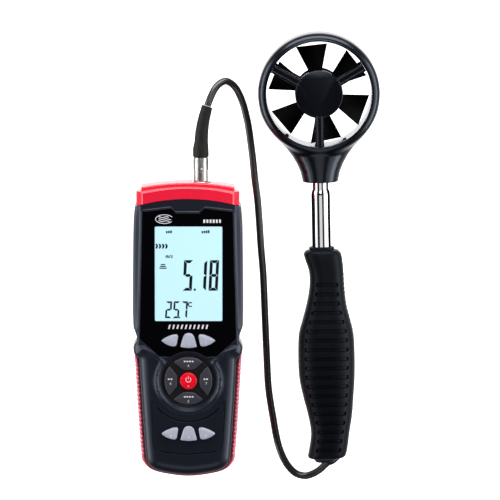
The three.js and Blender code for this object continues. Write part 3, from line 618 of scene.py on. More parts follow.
# The chrome tube's sides get a painted dark reflection.
paint_dark_reflection(CHROME, 0.28, 0.37)
BRASS = surface("turned_brass", srgb(214, 178, 96), 0.28, metal=1.0, grain=3500)
BOOT = surface("boot_rubber", srgb(19, 19, 18), 0.6, grain=1400, bump=0.4, mottle=0.25, specular=0.3)
CORD = surface("cord_jacket", srgb(22, 22, 22), 0.28, grain=2600, bump=0.03, specular=1.0)
HANDLE = surface("handle_plastic", srgb(7, 8, 12), 0.45, grain=2200, bump=0.06, specular=0.14,
                 gloss_tint=COOL)
HEAD_PLASTIC = surface("head_plastic", srgb(5, 6, 11), 0.24, grain=2400, bump=0.02, specular=0.55,
                       gloss_tint=COOL)
BORE_PLASTIC = surface("polished_bore", srgb(8, 9, 14), 0.06, bump=0, uneven=0.02)
VANE = surface("vane_plastic", srgb(3, 3, 5), 0.45, bump=0.02, specular=0.1)
BOARD = surface("solder_mask", srgb(30, 92, 52), 0.4, grain=900, mottle=0.2)
SILICONE = surface("grey_silicone", srgb(146, 150, 158), 0.65)
GUIDE = surface("light_guide", srgb(226, 232, 236), 0.3)
WRAP = surface("battery_wrap", srgb(38, 84, 134), 0.3, grain=1200, bump=0.02, coat=0.3)

# ---------- camera, light and floor ----------

VIEW_TILT = math.radians(6)
VIEW_WIDTH = 345.0
VIEW_DISTANCE = 4000.0
VIEW_CENTRE = np.array([-4.0, 0.3, 0.0])


def make_camera():
    """A long lens from above, leaning towards the far end."""
    data = bpy.data.cameras.new("camera")
    data.sensor_width = 36
    data.lens = data.sensor_width * VIEW_DISTANCE / VIEW_WIDTH
    data.clip_end = 100
    camera = bpy.data.objects.new("camera", data)
    bpy.context.collection.objects.link(camera)
    back = Vector((0, math.sin(VIEW_TILT), math.cos(VIEW_TILT)))
    up = Vector((0, math.cos(VIEW_TILT), -math.sin(VIEW_TILT)))
    turn = Matrix((Vector((1, 0, 0)), up, back)).transposed().to_4x4()
    place = Vector(VIEW_CENTRE * MM) + back * VIEW_DISTANCE * MM
    camera.matrix_world = Matrix.Translation(place) @ turn
    bpy.context.scene.camera = camera


def softbox(name, place, size, power):
    """A rectangular light in metres that faces the object."""
    data = bpy.data.lights.new(name, "AREA")
    data.shape = "RECTANGLE"
    data.size, data.size_y = size
    data.energy = power
    light = bpy.data.objects.new(name, data)
    bpy.context.collection.objects.link(light)
    light.location = place
    light.rotation_euler = (-Vector(place)).to_track_quat("-Z", "Y").to_euler()
    return light


def make_lights():
    """Soft boxes on all sides and overhead, with a small card over the mast."""
    world = bpy.data.worlds.new("studio")
    bpy.context.scene.world = world
    world.use_nodes = True
    sky = world.node_tree.nodes["Background"]
    sky.inputs["Color"].default_value = (0.9, 0.95, 1.0, 1.0)
    sky.inputs["Strength"].default_value = 0.02
    for name, side in (("left_wall", -1), ("right_wall", 1)):
        softbox(name, (1.15 * side, 0.0, 0.28), (1.6, 0.5), 12)
    softbox("left_upper", (-1.05, 0.0, 0.75), (1.6, 0.4), 2.6)
    softbox("right_upper", (1.0, 0.0, 0.8), (1.6, 0.6), 4.0)
    softbox("far_wall", (0.0, 1.25, 0.4), (1.6, 0.7), 20)
    softbox("far_overhead", (0.0, 0.66, 1.3), (0.5, 0.6), 3.4)
    softbox("near_wall", (0.0, -1.2, 1.1), (1.2, 0.4), 2)
    card = softbox("mast_card", (0.04, 0.008, 0.15), (0.075, 0.08), 0.016)
    card.rotation_euler = (0, 0, math.pi / 2)  # faces straight down
    bpy.context.scene.view_settings.view_transform = "Standard"


# The floor's glow is a painted pool of light: bright within the bright radius, fading to dim beyond the dim
# radius.
FLOOR = {"half": 30.0, "z": -1.0, "bright": 0.33, "dim": 0.6}  # metres; bright and dim are radii
FLOOR_GLOW = (1.1, 0.25)  # in the bright middle, and out from the dim radius


def make_floor():
    """A pale floor well below the object, glowing bright only under it in a painted pool of light, so its
    sides mirror little of it.
    """
    mesh = bpy.data.meshes.new("floor")
    half, z = FLOOR["half"], FLOOR["z"]
    corners = [(-half, -half, z), (half, -half, z), (half, half, z), (-half, half, z)]
    mesh.from_pydata(corners, [], [(0, 1, 2, 3)])
    floor = bpy.data.objects.new("floor", mesh)
    bpy.context.collection.objects.link(floor)
    material = surface("pale_floor", srgb(240, 240, 241), 0.8, grain=60, bump=0, mottle=0.005,
                       specular=0.1, glow=1)
    nodes, links = material.node_tree.nodes, material.node_tree.links
    place = nodes.new("ShaderNodeTexCoord")
    far = nodes.new("ShaderNodeVectorMath")
    far.operation = "LENGTH"
    links.new(place.outputs["Object"], far.inputs[0])
    # Painted pool of light: the glow fades with distance from the middle.
    painted_light_pool = nodes.new("ShaderNodeMapRange")
    painted_light_pool.interpolation_type = "SMOOTHSTEP"
    painted_light_pool.inputs["From Min"].default_value = math.hypot(FLOOR["bright"], z)
    painted_light_pool.inputs["From Max"].default_value = math.hypot(FLOOR["dim"], z)
    painted_light_pool.inputs["To Min"].default_value, painted_light_pool.inputs["To Max"].default_value = FLOOR_GLOW
    links.new(far.outputs["Value"], painted_light_pool.inputs["Value"])
    shader = next(n for n in nodes if n.type == "BSDF_PRINCIPLED")
    links.new(painted_light_pool.outputs["Result"], shader.inputs["Emission Strength"])
    mesh.materials.append(material)


# ---------- cord and plug ----------

PLUG = middle("plug_shell")
PLUG_LOW = box_mm("plug_shell")[0][1]
PLUG_HIGH = box_mm("plug_shell")[1][1]


def tube_along(path, radii, sides, lumps=None):
    """A closed round body along a path of points, with a radius at each."""
    rings = []
    for i, (centre, way, r) in enumerate(zip(path, ways(path), radii)):
        across = np.cross(way, (0, 0, 1))
        across /= np.linalg.norm(across)
        over = np.cross(across, way)
        a = np.linspace(0, 2 * math.pi, sides, endpoint=False)
        swell = r * (1 + (lumps(i / len(path), a) if lumps else 0 * a))
        rings.append(centre + np.outer(swell * np.cos(a), across) + np.outer(swell * np.sin(a), over))
    return solid(rings)


def boot_path():
    """From the sleeve's end, leaning over to meet the cord."""
    start = np.array([PLUG[0], PLUG_HIGH + GAP, PLUG[2]])
    cord_start, onward = np.array(CORD_ROUTE[0], float), np.array(CORD_ROUTE[1], float)
    along = (onward - cord_start) / np.linalg.norm(onward - cord_start)
    tip = cord_start - along * GAP
    reach = 12
    a, b = start + np.array([0, reach, 0]), tip - along * reach
    t = np.linspace(0, 1, 60)[:, None]
    return (1 - t) ** 3 * start + 3 * t * (1 - t) ** 2 * a + 3 * t**2 * (1 - t) * b + t**3 * tip


def make_boot():
    path = boot_path()
    t = np.linspace(0, 1, len(path))
    radii = np.interp(t, [0, 0.02, 0.15, 0.28, 0.97, 1], [5.3, 5.45, 5.4, 4.75, 3.8, 3.6])

    def wrinkles(s, a):
        return 0.012 * np.sin(3 * a + 9 * s) * np.sin(31 * s + 2 * np.sin(a)) + 0.01 * np.sin(5 * a - 14 * s)

    skin = tube_along(path, radii, 48, wrinkles)
    return piece("boot", skin, in_place, "probe", BOOT, "plug_boot")


def make_sleeve():
    """The plug's turned sleeve: a knurled grip, a step and an alignment dot."""
    skin = Skin()
    length = PLUG_HIGH - PLUG_LOW
    steps = 96
    profile = [(4.1, 0), (4.75, 0), (5.0, 0.3), (5.0, 6.2), (4.75, 6.45), (4.75, 6.9), (5.15, 7.2)]
    profile += [(5.15, 9), (5.15, length - 1.4), (4.9, length - 0.3), (4.6, length), (4.1, length), (4.1, 0)]
    rings = []
    for r, y in profile:
        flute = 0.09 * (1 + np.cos(np.arange(steps) * math.pi)) if 7.5 < y < length - 1 else 0
        u, v = (circle(1, steps) * np.reshape((r - flute) * np.ones(steps), (-1, 1))).T
        rings.append(np.column_stack([u + PLUG[0], np.full(steps, y + PLUG_LOW), PLUG[2] - v]))
    skin.loft(rings)
    dot = Skin()
    dot.lathe([(0, 0), (0.7, 0), (0.7, 0.3), (0.5, 0.4), (0, 0.42)], 20)
    dot.points = [np.vstack(dot.points) + (PLUG[0] + 0.6, PLUG_LOW + 8.6, PLUG[2] + 4.95)]
    sleeve = piece("sleeve", skin, in_place, "probe", NICKEL, "plug_shell")
    piece("sleeve_dot", dot, in_place, "probe", INK_WHITE)
    return sleeve


def gland_skin(extra=0.0):
    end, before = np.array(CORD_ROUTE[-1], float), np.array(CORD_ROUTE[-2], float)
    along = (end - before) / np.linalg.norm(end - before)
    reach = np.array([0.3, 0.6, 3.2, 11.3])
    path = end + np.outer(reach, along)
    return tube_along(path, np.array([2.9, 3.1, CORD_R + 1.2, CORD_R + 1.2]) + extra, 32)


def make_cord():
    data = bpy.data.curves.new("cord_line", "CURVE")
    data.dimensions = "3D"
    data.bevel_depth = CORD_R * MM
    data.bevel_resolution = 6
    data.use_fill_caps = True
    line = through(CORD_ROUTE, 8)[::-1]
    spline = data.splines.new("POLY")
    spline.points.add(len(line) - 1)
    for point, (x, y, z) in zip(spline.points, line * MM):
        point.co = (x, y, z, 1)
    spline.use_smooth = True
    data.materials.append(CORD)
    cord = bpy.data.objects.new("signal_cord", data)
    bpy.context.collection.objects.link(cord)
    settle(cord, "probe", "cord")


def make_lead():
    """The cord with the pieces at its two ends."""
    boot = make_boot()
    sleeve = make_sleeve()
    gland = piece("gland", gland_skin(), in_place, "probe", BOOT, "cord_gland")
    make_cord()


# ---------- meter: outline ----------


def meter_side(grip=GRIP, spacing=0.9):
    """The right side of the meter's outline, from the lower end up; grip slims its lower part."""
    mirrored = [(-SIDE[1][1], SIDE[1][0])]
    side = through(mirrored + [(u, v) for v, u in SIDE], 10)
    side = evened(side[np.argmin(np.abs(side[:30, 0])):], spacing)
    return offset_side(side, grip * grip_share(side[:, 1]))


def grip_share(v):
    """How much of the grips' full depth there is at height v."""
    return smoothstep(GRIP_TOP - v, 0, 5) * mix(0.55, 1, smoothstep(v, 1, 12))


def offset_side(side, reach):
    """Moves a right-hand side towards the centre line, keeping both its ends on their own edges."""
    along = ways(side)
    reach = reach * np.ones(len(side))
    made = side + np.column_stack([-along[:, 1], along[:, 0]]) * reach[:, None]
    ahead = (np.diff(made, axis=0) * np.diff(side, axis=0)).sum(axis=1) > 0
    near = distance_to(made, side, loop=False) > reach - 0.01
    made = unfolded(made, near & np.append(ahead, True) & np.append(True, ahead))
    made[0, 0] = 0
    made[-1, 1] = end_arc(made[-1, 0])
    made[:, 0] = np.maximum(made[:, 0], 0)
    return made


def unfolded(path, good):
    """A path whose bad points, which fold back inside a tight bend, lie evenly between the good ones."""
    index = np.arange(len(path))
    return np.column_stack([np.interp(index, index[good], path[good, axis]) for axis in (0, 1)])


def end_arc(u):
    """Height of the shells' arched upper end."""
    end, half = SIDE[-1]
    return end + TOP_RISE * (1 - (np.asarray(u) / half) ** 2)


def closed_outline(side, steps=40):
    """The whole outline, counter-clockwise, from its right side."""
    arch = [(u, end_arc(u)) for u in np.linspace(side[-1, 0], -side[-1, 0], steps)[1:-1]]
    return np.vstack([side, arch, side[1:][::-1] * (-1, 1)])


def meter_ring(side, reach, z):
    """One level of a shell: reach and z are numbers or one per point of the side."""
    loop = closed_outline(offset_side(side, reach))
    z = np.ones(len(side)) * z
    n = len(loop) - (2 * len(side) - 1)
    return lifted(loop, np.concatenate([z, np.full(n, z[-1]), z[1:][::-1]]))


# ---------- meter: front ----------


SHOULDER = [(34.5, 90.3), (29.5, 89), (25, 87), (21.2, 84.4), (18.7, 81.6)]
RIDGE_R = 21.8
RIDGE = np.vstack([through(SHOULDER, 5), arc(RIDGE_R, math.radians(36), math.radians(-90), 40, (0, NAV[1]))])


def front_relief(u, v):
    """Height of the meter's front: a ridge in from the waist and down round the keys, and their dish."""
    u, v = np.asarray(u, float), np.asarray(v, float)
    du, dv = u - NAV[0], v - NAV[1]
    r = np.hypot(du, dv)
    turn = np.degrees(np.arctan2(dv, np.abs(du)))
    crest = mix(0.5, 1.4, smoothstep(turn, -75, -10)) * smoothstep(32.6 - np.abs(du), -2, 2)
    away = distance_to(np.column_stack([np.abs(du).ravel(), v.ravel()]), RIDGE, loop=False).reshape(u.shape)
    z = FRONT_Z + crest * np.exp(-((away / 1.5) ** 2))
    return z - 0.7 * (1 - smoothstep(r, 18.3, 21.2))


UPPER_EDGE = [(0, 0), (0.25, 9), (0.4, 14), (0.7, 16.2), (1.3, 17.1), (1.8, 17.4)]  # (reach, height)
BEVEL = {"share": 0.8, "rise": 18.6}  # the sloping band outside the ridge, before its chamfer
CHAMFER = {"share": 0.93, "rise": 19.15}
ROLL = {"reach": 10.0, "drop": 6.0}  # the lower part's rounded edge


def lower_edge():
    """(reach, height above the parting line) up the wall and round the edge."""
    top = FRONT_Z - PARTING_Z - GAP / 2
    wall = [(0, 0), (0, (top - ROLL["drop"]) / 2)]
    turns = np.radians(np.linspace(90, 0, 15))
    roll = [(ROLL["reach"] * (1 - math.sin(t)), top - ROLL["drop"] * (1 - math.cos(t))) for t in turns]
    return np.array(wall + roll)


def front_rings(side):
    """The front shell's side, its long bevel above the waist and its round edge below."""
    v = side[:, 1]
    ridge_u = np.interp(v, [97, 188], [34.1, 32.0])
    ridge = np.maximum(side[:, 0] - ridge_u, 1.9)
    upper = smoothstep(v, 87, 96)
    lower = lower_edge()
    base = PARTING_Z + GAP / 2
    walls = [0, 0.12, 0.24, 0.34, 0.42, 0.48]
    rings = []
    for t, (reach, rise) in zip(np.linspace(0, 1, len(lower)), lower):
        wall_reach, wall_rise = [np.interp(t, walls, [p[k] for p in UPPER_EDGE]) for k in (0, 1)]
        stops = [walls[-1], 0.82, 0.9, 1]
        out = np.interp(t, stops, [0, BEVEL["share"], CHAMFER["share"], 1])
        up = np.interp(t, stops, [wall_rise, BEVEL["rise"], CHAMFER["rise"], FRONT_Z - base])
        upper_reach = mix(wall_reach, ridge, out)
        z = base + mix(rise, up if t > walls[-1] else wall_rise, upper)
        ring = meter_ring(side, mix(reach, upper_reach, upper), z)
        ring[:, 2] += (front_relief(ring[:, 0], ring[:, 1]) - FRONT_Z) * smoothstep(ring[:, 2], 33, 38.3)
        rings.append(ring)
    return rings


def window_loop():
    """The black window: notched at the upper end and cut out round the keypad below."""
    corners = [
        (19.4, 84.4), (33, 96.6), (31, 184.2), (11.9, 186.5), (8.7, 183.2), (-8.7, 183.2),
        (-11.9, 186.5), (-31, 184.2), (-33, 96.6), (-19.4, 84.4),
    ]
    bottom = arc(20.3, math.radians(127), math.radians(53), 13, NAV)
    sides = rounded(corners, 1.0)
    cut = len(sides) - 4
    return evened(np.vstack([sides[3:cut], bottom]), 0.8, loop=True)


def panel_loop():
    """The panel round the lower keys, hollowed at its top to follow the keypad."""
    top = arc(28.7, -0.53, -2.61, 40, NAV)
    low = [(-23.1, 24.5), (-21.8, 20.3), (-17, 18.6), (0, 17.1), (17, 18.6), (21.8, 20.3), (23.1, 24.5)]
    lower = rounded([top[-1], *low, top[0]], 1.5)[7:-7]
    return evened(np.vstack([top, lower]), 0.8, loop=True)[::-1]


def counter_clockwise(loop):
    area = np.sum(loop[:, 0] * np.roll(loop[:, 1], -1) - np.roll(loop[:, 0], -1) * loop[:, 1])
    return loop if area > 0 else loop[::-1]


WINDOW = counter_clockwise(window_loop())
LOWER_PANEL = counter_clockwise(panel_loop())
KEY_WELL = circle(17.2, 120, NAV)
LCD_LOOP = evened(rounded([
    (LCD["u"] - LCD["half"], LCD["low"]), (LCD["u"] + LCD["half"], LCD["low"]),
    (LCD["u"] + LCD["half"], LCD["high"]), (LCD["u"] - LCD["half"], LCD["high"]),
], 0.8), 1.0, loop=True)


FLOOR_Z = 36.4  # floor of the recesses in the front
WINDOW_Z = 38.6


def make_front_shell():
    side = meter_side()
    skin = Skin()
    rings = front_rings(side)
    skin.loft(rings, caps=(True, False))
    holes = [
        skin.well(inwards(WINDOW, -0.12), front_relief, FLOOR_Z, lip=0.3),
        skin.well(inwards(LOWER_PANEL, -0.75), front_relief, FLOOR_Z, lip=0.1),
        skin.well(KEY_WELL, front_relief, FLOOR_Z, lip=0.4),
    ]
    skin.sheet(rings[-1][:, :2], holes, 0.9, front_relief)
    piece("front_face", skin, on_meter, "meter", SHELL, "front_shell", sharp=32)


WINDOW_RIM = [  # (reach, negative outwards from the window; rise over the front)
    (-0.15, -0.4), (-0.15, 0.2), (-0.3, 0.34), (-0.55, 0.38), (-0.85, 0.24), (-1.2, -0.1), (-1.2, -0.4),
]


def make_window_rim():
    """A fine raised rim round the window."""
    skin = Skin()
    rings = []
    for reach, rise in WINDOW_RIM + WINDOW_RIM[:1]:
        loop = inwards(WINDOW, reach)
        rings.append(lifted(loop, front_relief(loop[:, 0], loop[:, 1]) + rise))
    skin.loft(rings)
    piece("window_rim", skin, on_meter, "meter", SHELL, sharp=60)


# ---------- meter: back, cap and grips ----------


def slab(loop, z0, z1):
    return solid([lifted(loop, z0), lifted(loop, z1)])


def block(u0, u1, v0, v1, z0, z1):
    return slab([(u0, v0), (u1, v0), (u1, v1), (u0, v1)], z0, z1)


def drum(u, v, r, z0, z1):
    return slab(circle(r, 32, (u, v)), z0, z1)


BACK_EDGE = [(5.2, 0), (4.0, 0.4), (2.7, 1.6), (1.5, 3.9), (0.6, 8), (0.15, 14), (0, PARTING_Z - GAP / 2)]
DOOR = {"half": 25.5, "high": 77.0, "thick": 1.8}
BAY = {"half": 24.0, "low": 20.0, "high": 72.0, "ceiling": 14.5}
SCREWS = [(-28, 180), (28, 180), (-20, 10.5), (20, 10.5)]


def back_skin():
    side = meter_side()
    return solid([meter_ring(side, reach, z) for reach, z in through(BACK_EDGE, 3)])


def make_rear_shell():
    half = DOOR["half"] + 0.25
    cuts = [
        block(-half, half, -5, DOOR["high"] + 0.25, -1, DOOR["thick"] + GAP),
        block(-BAY["half"], BAY["half"], BAY["low"], BAY["high"], 1, BAY["ceiling"]),
    ]
    cuts += [drum(u, v, 3.2, -1, 5.2) for u, v in SCREWS]
    piece("back_shell", back_skin(), on_meter, "meter", SHELL, "rear_shell", cuts=cuts)


def make_battery_door():
    keep = block(-DOOR["half"], DOOR["half"], -5, DOOR["high"], -1, DOOR["thick"])
    grooves = [block(-9, 9, v, v + 0.9, -1, 0.6) for v in np.arange(12, 24, 2.1)]
    arrow = slab([(-3.2, 10), (0, 6.5), (3.2, 10)], -1, 0.35)
    piece("door", back_skin(), on_meter, "battery_door", SHELL, "battery_door",
          keep=[keep], cuts=[*grooves, arrow])


CAP_LEVELS = [  # of the wide front band: (reach at the sides, reach at the upper end, z)
    (0.3, 0.3, 21.2), (0, 0, 21.6), (0, 0, 31), (0.3, 0, 33), (0.8, 0, 34), (3.4, 0, 37.4),
    (3.8, 0.4, 37.9), (4.7, 1.2, FRONT_Z),
]
CAP_BASE = [(7.4, 4.6, 0), (6.2, 4.4, 0.4), (5.1, 4.2, 2.5), (3.9, 4, 8), (3.6, 4, 21.4)]
CAP = {"half": 35.4, "end": 197.4, "centre": 201.0}
TIER = {"half": 32.0, "low": 193.4, "end": 200.2, "centre": 203.2, "z": (8, 33)}


def arch_loop(half, low, end, centre, steps=40):
    """A block with an arched upper end; low is a height, or a function of u for an arched lower end."""
    u = np.linspace(-half, half, steps)
    lower = np.column_stack([u, low(u) if callable(low) else low + 0 * u])
    t = np.linspace(1, -1, steps)
    upper = np.column_stack([half * t, end + (centre - end) * (1 - t**2)])
    return np.vstack([lower, upper])


def cap_skin(levels):
    rings = []
    for across, along, z in levels:
        half, end, centre = CAP["half"] - across, CAP["end"] - along, CAP["centre"] - along
        rings.append(lifted(arch_loop(half, lambda u: end_arc(u) + GAP, end, centre), z))
    return solid(rings)


def tier_skin():
    """The raised middle of the cap's upper end."""
    low, high = TIER["z"]
    rings = []
    for bevel, z in [(0.5, low), (0, low + 0.5), (0, high - 0.7), (0.25, high - 0.35), (0.8, high)]:
        loop = arch_loop(TIER["half"] - bevel, TIER["low"], TIER["end"] - bevel, TIER["centre"] - bevel)
        rings.append(lifted(loop, z))
    return solid(rings)


def make_cap():
    u, z = circle(7.2, 48, (SOCKET["u"], SOCKET["z"])).T
    bore = solid([np.column_stack([u, np.full(48, v), z]) for v in (191, 210)])
    skins = [("cap_band", cap_skin(CAP_LEVELS), "top_cap"), ("cap_base", cap_skin(CAP_BASE), None),
             ("cap_tier", tier_skin(), None)]
    for name, skin, node in skins:
        piece(name, skin, on_meter, "meter", RED, node, sharp=24, cuts=[bore])


def make_socket():
    skin = Skin()
    skin.lathe([
        (4.9, 193.3), (7.0, 193.3), (7.0, 202.8), (6.7, 203.15), (5.3, 203.15), (4.9, 202.7), (4.9, 193.3),
    ], 64, (SOCKET["u"], SOCKET["z"]), "y")
    piece("socket", skin, on_meter, "meter", NICKEL, "probe_socket")


GRIP_SECTION = [  # (share of the grip's depth from outside, z)
    (1, 8.2), (0.7, 8.0), (0.25, 8.6), (0.05, 10.5), (0, 13), (0, 19), (0, 24.5), (0.06, 26.5),
    (0.2, 27.8), (0.4, 28.2), (0.65, 27.4), (1, 25.5),
]


GRIP_OVERLAP = 0.1  # into the shells, so that no light shows between
SCALLOP = {"depth": 1.25, "pitch": 2.95}


def make_grips():
    """A band round the meter's lower part, scalloped along both sides."""
    side = meter_side(grip=0, spacing=0.35)
    v = side[:, 1]
    covered = v < GRIP_TOP - 1.8
    depth = GRIP * grip_share(v) + GRIP_OVERLAP
    bite = SCALLOP["depth"] * (0.5 - 0.5 * np.cos(2 * math.pi * v / SCALLOP["pitch"])) ** 1.5
    bite *= smoothstep(v, 13, 17) * (1 - smoothstep(v, 76, 80))
    rings = []
    for share, z in GRIP_SECTION:
        cut = bite * (1 - share) * smoothstep(14.5 - abs(z - 18.5), 0, 4)
        half = offset_side(side, share * depth + cut)[covered]
        rings.append(np.vstack([lifted(half[::-1], z), lifted(half[1:] * (-1, 1), z)]))
    across = np.swapaxes(np.array(rings), 0, 1)
    piece("grips", solid(list(across)), on_meter, "meter", RUBBER_RED, "grip_bumper", sharp=50)


# ---------- meter: window, display and panel ----------


def level(z):
    return lambda u, v: z + 0 * np.asarray(u, float)


def softened(loop, spacing, times):
    """The same loop at an even spacing, with its corners worn down."""
    loop = evened(loop, spacing, loop=True)
    for _ in range(times):
        loop = (np.roll(loop, 1, 0) + 2 * loop + np.roll(loop, -1, 0)) / 4
    return counter_clockwise(loop)


def side_key(side, row):
    """A rounded teardrop with its tip away from the centre."""
    corners = [(18.6, 0.1), (15.2, 2.3), (11, 4.0), (7.7, 4.4), (7.0, 3.3), (8.1, -2.9), (9.0, -3.9),
               (12, -3.6), (15.6, -2.1)]
    return softened(np.array(corners) * (side, 1) + (0.3, SIDE_KEY_V[row]), 0.4, 5)


def middle_key(row):
    """A dome over a wider, nearly straight lower edge."""
    corners = [(-5.7, -4.3), (0, -4.9), (5.7, -4.3), (3.7, 2.8), (2.4, 4.7), (0, 5.3), (-2.4, 4.7),
               (-3.7, 2.8)]
    return softened(np.array(corners) + (0.5, SIDE_KEY_V[row]), 0.4, 5)


def arc_key(turn):
    """A round pad's quarter: an arched outer side, and ends cut off towards the middle."""
    wide = math.radians(38)
    outer = arc(16.3, -wide, wide, 60)
    loop = np.vstack([outer, [(8.0, 4.0), (7.6, 0), (8.0, -4.0)]])
    loop = softened(loop, 0.4, 5)
    c, s = math.cos(turn), math.sin(turn)
    return counter_clockwise(loop @ np.array([(c, s), (-s, c)]) + NAV)


def key_shapes():
    """Each key's outline, top, materials, slot and its printed numeral."""
    # The dark keys' rounded edges carry a painted highlight.
    light, dark, red = [KEY_LIGHT, KEY_EDGE_HIGHLIGHT], [KEY_DARK, KEY_EDGE_HIGHLIGHT], [KEY_RED, KEY_RED]
    shapes = {}
    for row, numerals in (("upper", "123"), ("lower", "890")):
        top = KEY_TOP["outer"]
        shapes[f"key_{row}_left"] = (side_key(-1, row), top, light, "light_key", numerals[0])
        shapes[f"key_{row}_middle"] = (middle_key(row), top, light, "light_key", numerals[1])
        shapes[f"key_{row}_right"] = (side_key(1, row), top, light, "light_key", numerals[2])
    for side, turn, numeral in (("right", 0, "7"), ("up", 1, "4"), ("left", 2, "6"), ("down", 3, "5")):
        loop = arc_key(turn * math.pi / 2)
        shapes[f"key_round_{side}"] = (loop, KEY_TOP["round"], dark, "dark_key", numeral)
    shapes["key_power"] = (circle(5.7, 72, NAV), KEY_TOP["outer"] - 0.3, red, "red_key", None)
    return shapes


KEYS = key_shapes()


def holes_of(row):
    return [inwards(KEYS[f"key_{row}_{side}"][0], -KEY_CLEARANCE) for side in ("left", "middle", "right")]


def plate_with_holes(loop, holes, z0, z1):
    """A flat plate with a soft edge and holes right through."""
    skin = Skin()
    edge = [(0, z0), (0, z1 - 0.25), (0.08, z1 - 0.08), (0.25, z1), (0.45, z1)]
    skin.loft([lifted(inwards(loop, reach), z) for reach, z in edge])
    lips = [skin.well(hole, level(z1), z0, lip=0.15, floor=False) for hole in holes]
    skin.sheet(inwards(loop, 0.45), lips, 2.0, level(z1))
    skin.sheet(loop, holes, 3.0, level(z0))
    return skin


def make_window():
    skin = plate_with_holes(WINDOW, [*holes_of("upper"), LCD_LOOP], 36.9, WINDOW_Z)
    piece("window", skin, on_meter, "meter", BLACK_GLOSS, "display_window")


def make_lower_panel():
    skin = plate_with_holes(LOWER_PANEL, holes_of("lower"), 37.0, FRONT_Z + 0.1)
    piece("panel", skin, on_meter, "meter", PANEL, "lower_panel")


LCD_Z = 38.42
INK = 0.03


def make_display():
    loop = inwards(LCD_LOOP, 0.05)
    skin = Skin()
    skin.loft([lifted(loop, 32.5), lifted(loop, LCD_Z), lifted(inwards(loop, 0.5), LCD_Z)], look=1,
              caps=(True, False))
    skin.face(skin.add(lifted(inwards(loop, 0.5), LCD_Z)))
    piece("display", skin, on_meter, "meter", [LCD_PALE, LCD_RIM], "lcd_panel")


SEGMENTS = {
    "0": "abcdef", "1": "bc", "2": "abged", "3": "abgcd", "4": "fgbc", "5": "afgcd", "6": "afgedc",
    "7": "abc", "8": "abcdefg", "9": "abcdfg",
}


def segment_shapes(w, h, s):
    """The seven bars of a digit w wide and h high, with mitred ends, for a stroke s."""
    g, mid = s * 0.07, h / 2
    top = np.array([(g, h), (w - g, h), (w - s - g, h - s), (s + g, h - s)])
    left = np.array([(0, h - g), (s, h - s - g), (s, mid + s / 2 + g), (s * 0.45, mid + g), (0, mid + g)])
    bar = np.array([(s * 0.55, mid), (s + g, mid + s / 2), (w - s - g, mid + s / 2), (w - s * 0.55, mid),
                    (w - s - g, mid - s / 2), (s + g, mid - s / 2)])
    over, down = np.array([w, 0]), np.array([0, h])
    return {
        "a": top, "d": top * (1, -1) + down, "g": bar, "f": left, "e": left * (1, -1) + down,
        "b": left * (-1, 1) + over, "c": left * (-1, -1) + over + down,
    }


def digit(skin, numeral, low, size, stroke, slant=0.05):
    """One seven-segment digit, with its lower left corner at low."""
    shapes = segment_shapes(*size, stroke)
    for name in SEGMENTS[numeral]:
        loop = shapes[name] @ np.array([(1, 0), (slant, 1)])
        skin.prism(counter_clockwise(loop + low), LCD_Z, LCD_Z + INK)


def unit_signs(skin):
    """Degrees Celsius, and metres per second, in thin strokes."""
    stroke_path(skin, arc(0.55, 0, 2 * math.pi, 20, (-0.7, 121.3)), 0.4, LCD_Z)
    stroke_path(skin, arc(1.35, 0.75, 5.53, 24, (1.7, 120.2)), 0.75, LCD_Z)
    low = np.array([-14.9, 152.3])
    strokes = [
        [(0, 0), (0, 1.5)], [(0.8, 0), (0.8, 1.5)], [(1.6, 0), (1.6, 1.5)], [(-0.2, 1.4), (1.8, 1.4)],
        [(2.3, -0.2), (3.0, 2.1)], [(4.6, 1.45), (3.6, 1.45)], [(3.7, 0.75), (4.5, 0.75)],
        [(4.4, 0.05), (3.4, 0.05)],
    ]
    for stroke in strokes:
        stroke_path(skin, np.array(stroke) + low, 0.55, LCD_Z)


def make_display_ink():
    skin = Skin()
    big, small = (6.3, 21.0), (4.2, 11.6)
    for numeral, u in (("5", -3.6), ("1", 6.0), ("8", 14.1)):
        digit(skin, numeral, (u, 129.7), big, 2.0)
    skin.prism(rounded([(4.0, 129.7), (5.4, 129.7), (5.4, 131.2), (4.0, 131.2)], 0.3), LCD_Z, LCD_Z + INK)
    for numeral, u in (("2", -15.7), ("5", -10.4), ("7", -4.9)):
        digit(skin, numeral, (u, 110.8), small, 1.25, 0.07)
    skin.prism(rounded([(-6.2, 110.8), (-5.3, 110.8), (-5.3, 111.7), (-6.2, 111.7)], 0.2), LCD_Z, LCD_Z + INK)
    unit_signs(skin)
    for u in (-22.2, -20.0, -17.8, -15.6):  # flow arrows
        arrow = np.array([(0, 0), (0.6, 1.6), (0, 3.2), (1.2, 3.2), (2.0, 1.6), (1.2, 0)])
        skin.prism(counter_clockwise(arrow + (u, 158.7)), LCD_Z, LCD_Z + INK)
    for k in range(3):  # a speed glyph of three strokes
        low = (-19.6 + k * 0.5, 144.8 + k * 1.25)
        skin.tile(low, (5.0 - k, 0.75), LCD_Z, LCD_Z + INK, slant=0.3)
    for u, count in ((-14.9, 3), (9.4, 4)):  # two small level marks
        for k in range(count):
            skin.tile((u + 1.45 * k, 169.2), (1.1, 1.5 + 0.2 * k), LCD_Z, LCD_Z + INK)
    piece("display_ink", skin, on_meter, "meter", LCD_INK)


def stroke_path(skin, path, width, z):
    """A flat printed line of constant width."""
    path = np.asarray(path, float)
    along = ways(path)
    across = np.column_stack([-along[:, 1], along[:, 0]]) * width / 2
    left, right = path + across, path - across
    rings = [np.array([(*a, z), (*b, z), (*b, z + INK), (*a, z + INK)]) for a, b in zip(left, right)]
    skin.loft(rings, caps=(True, True))


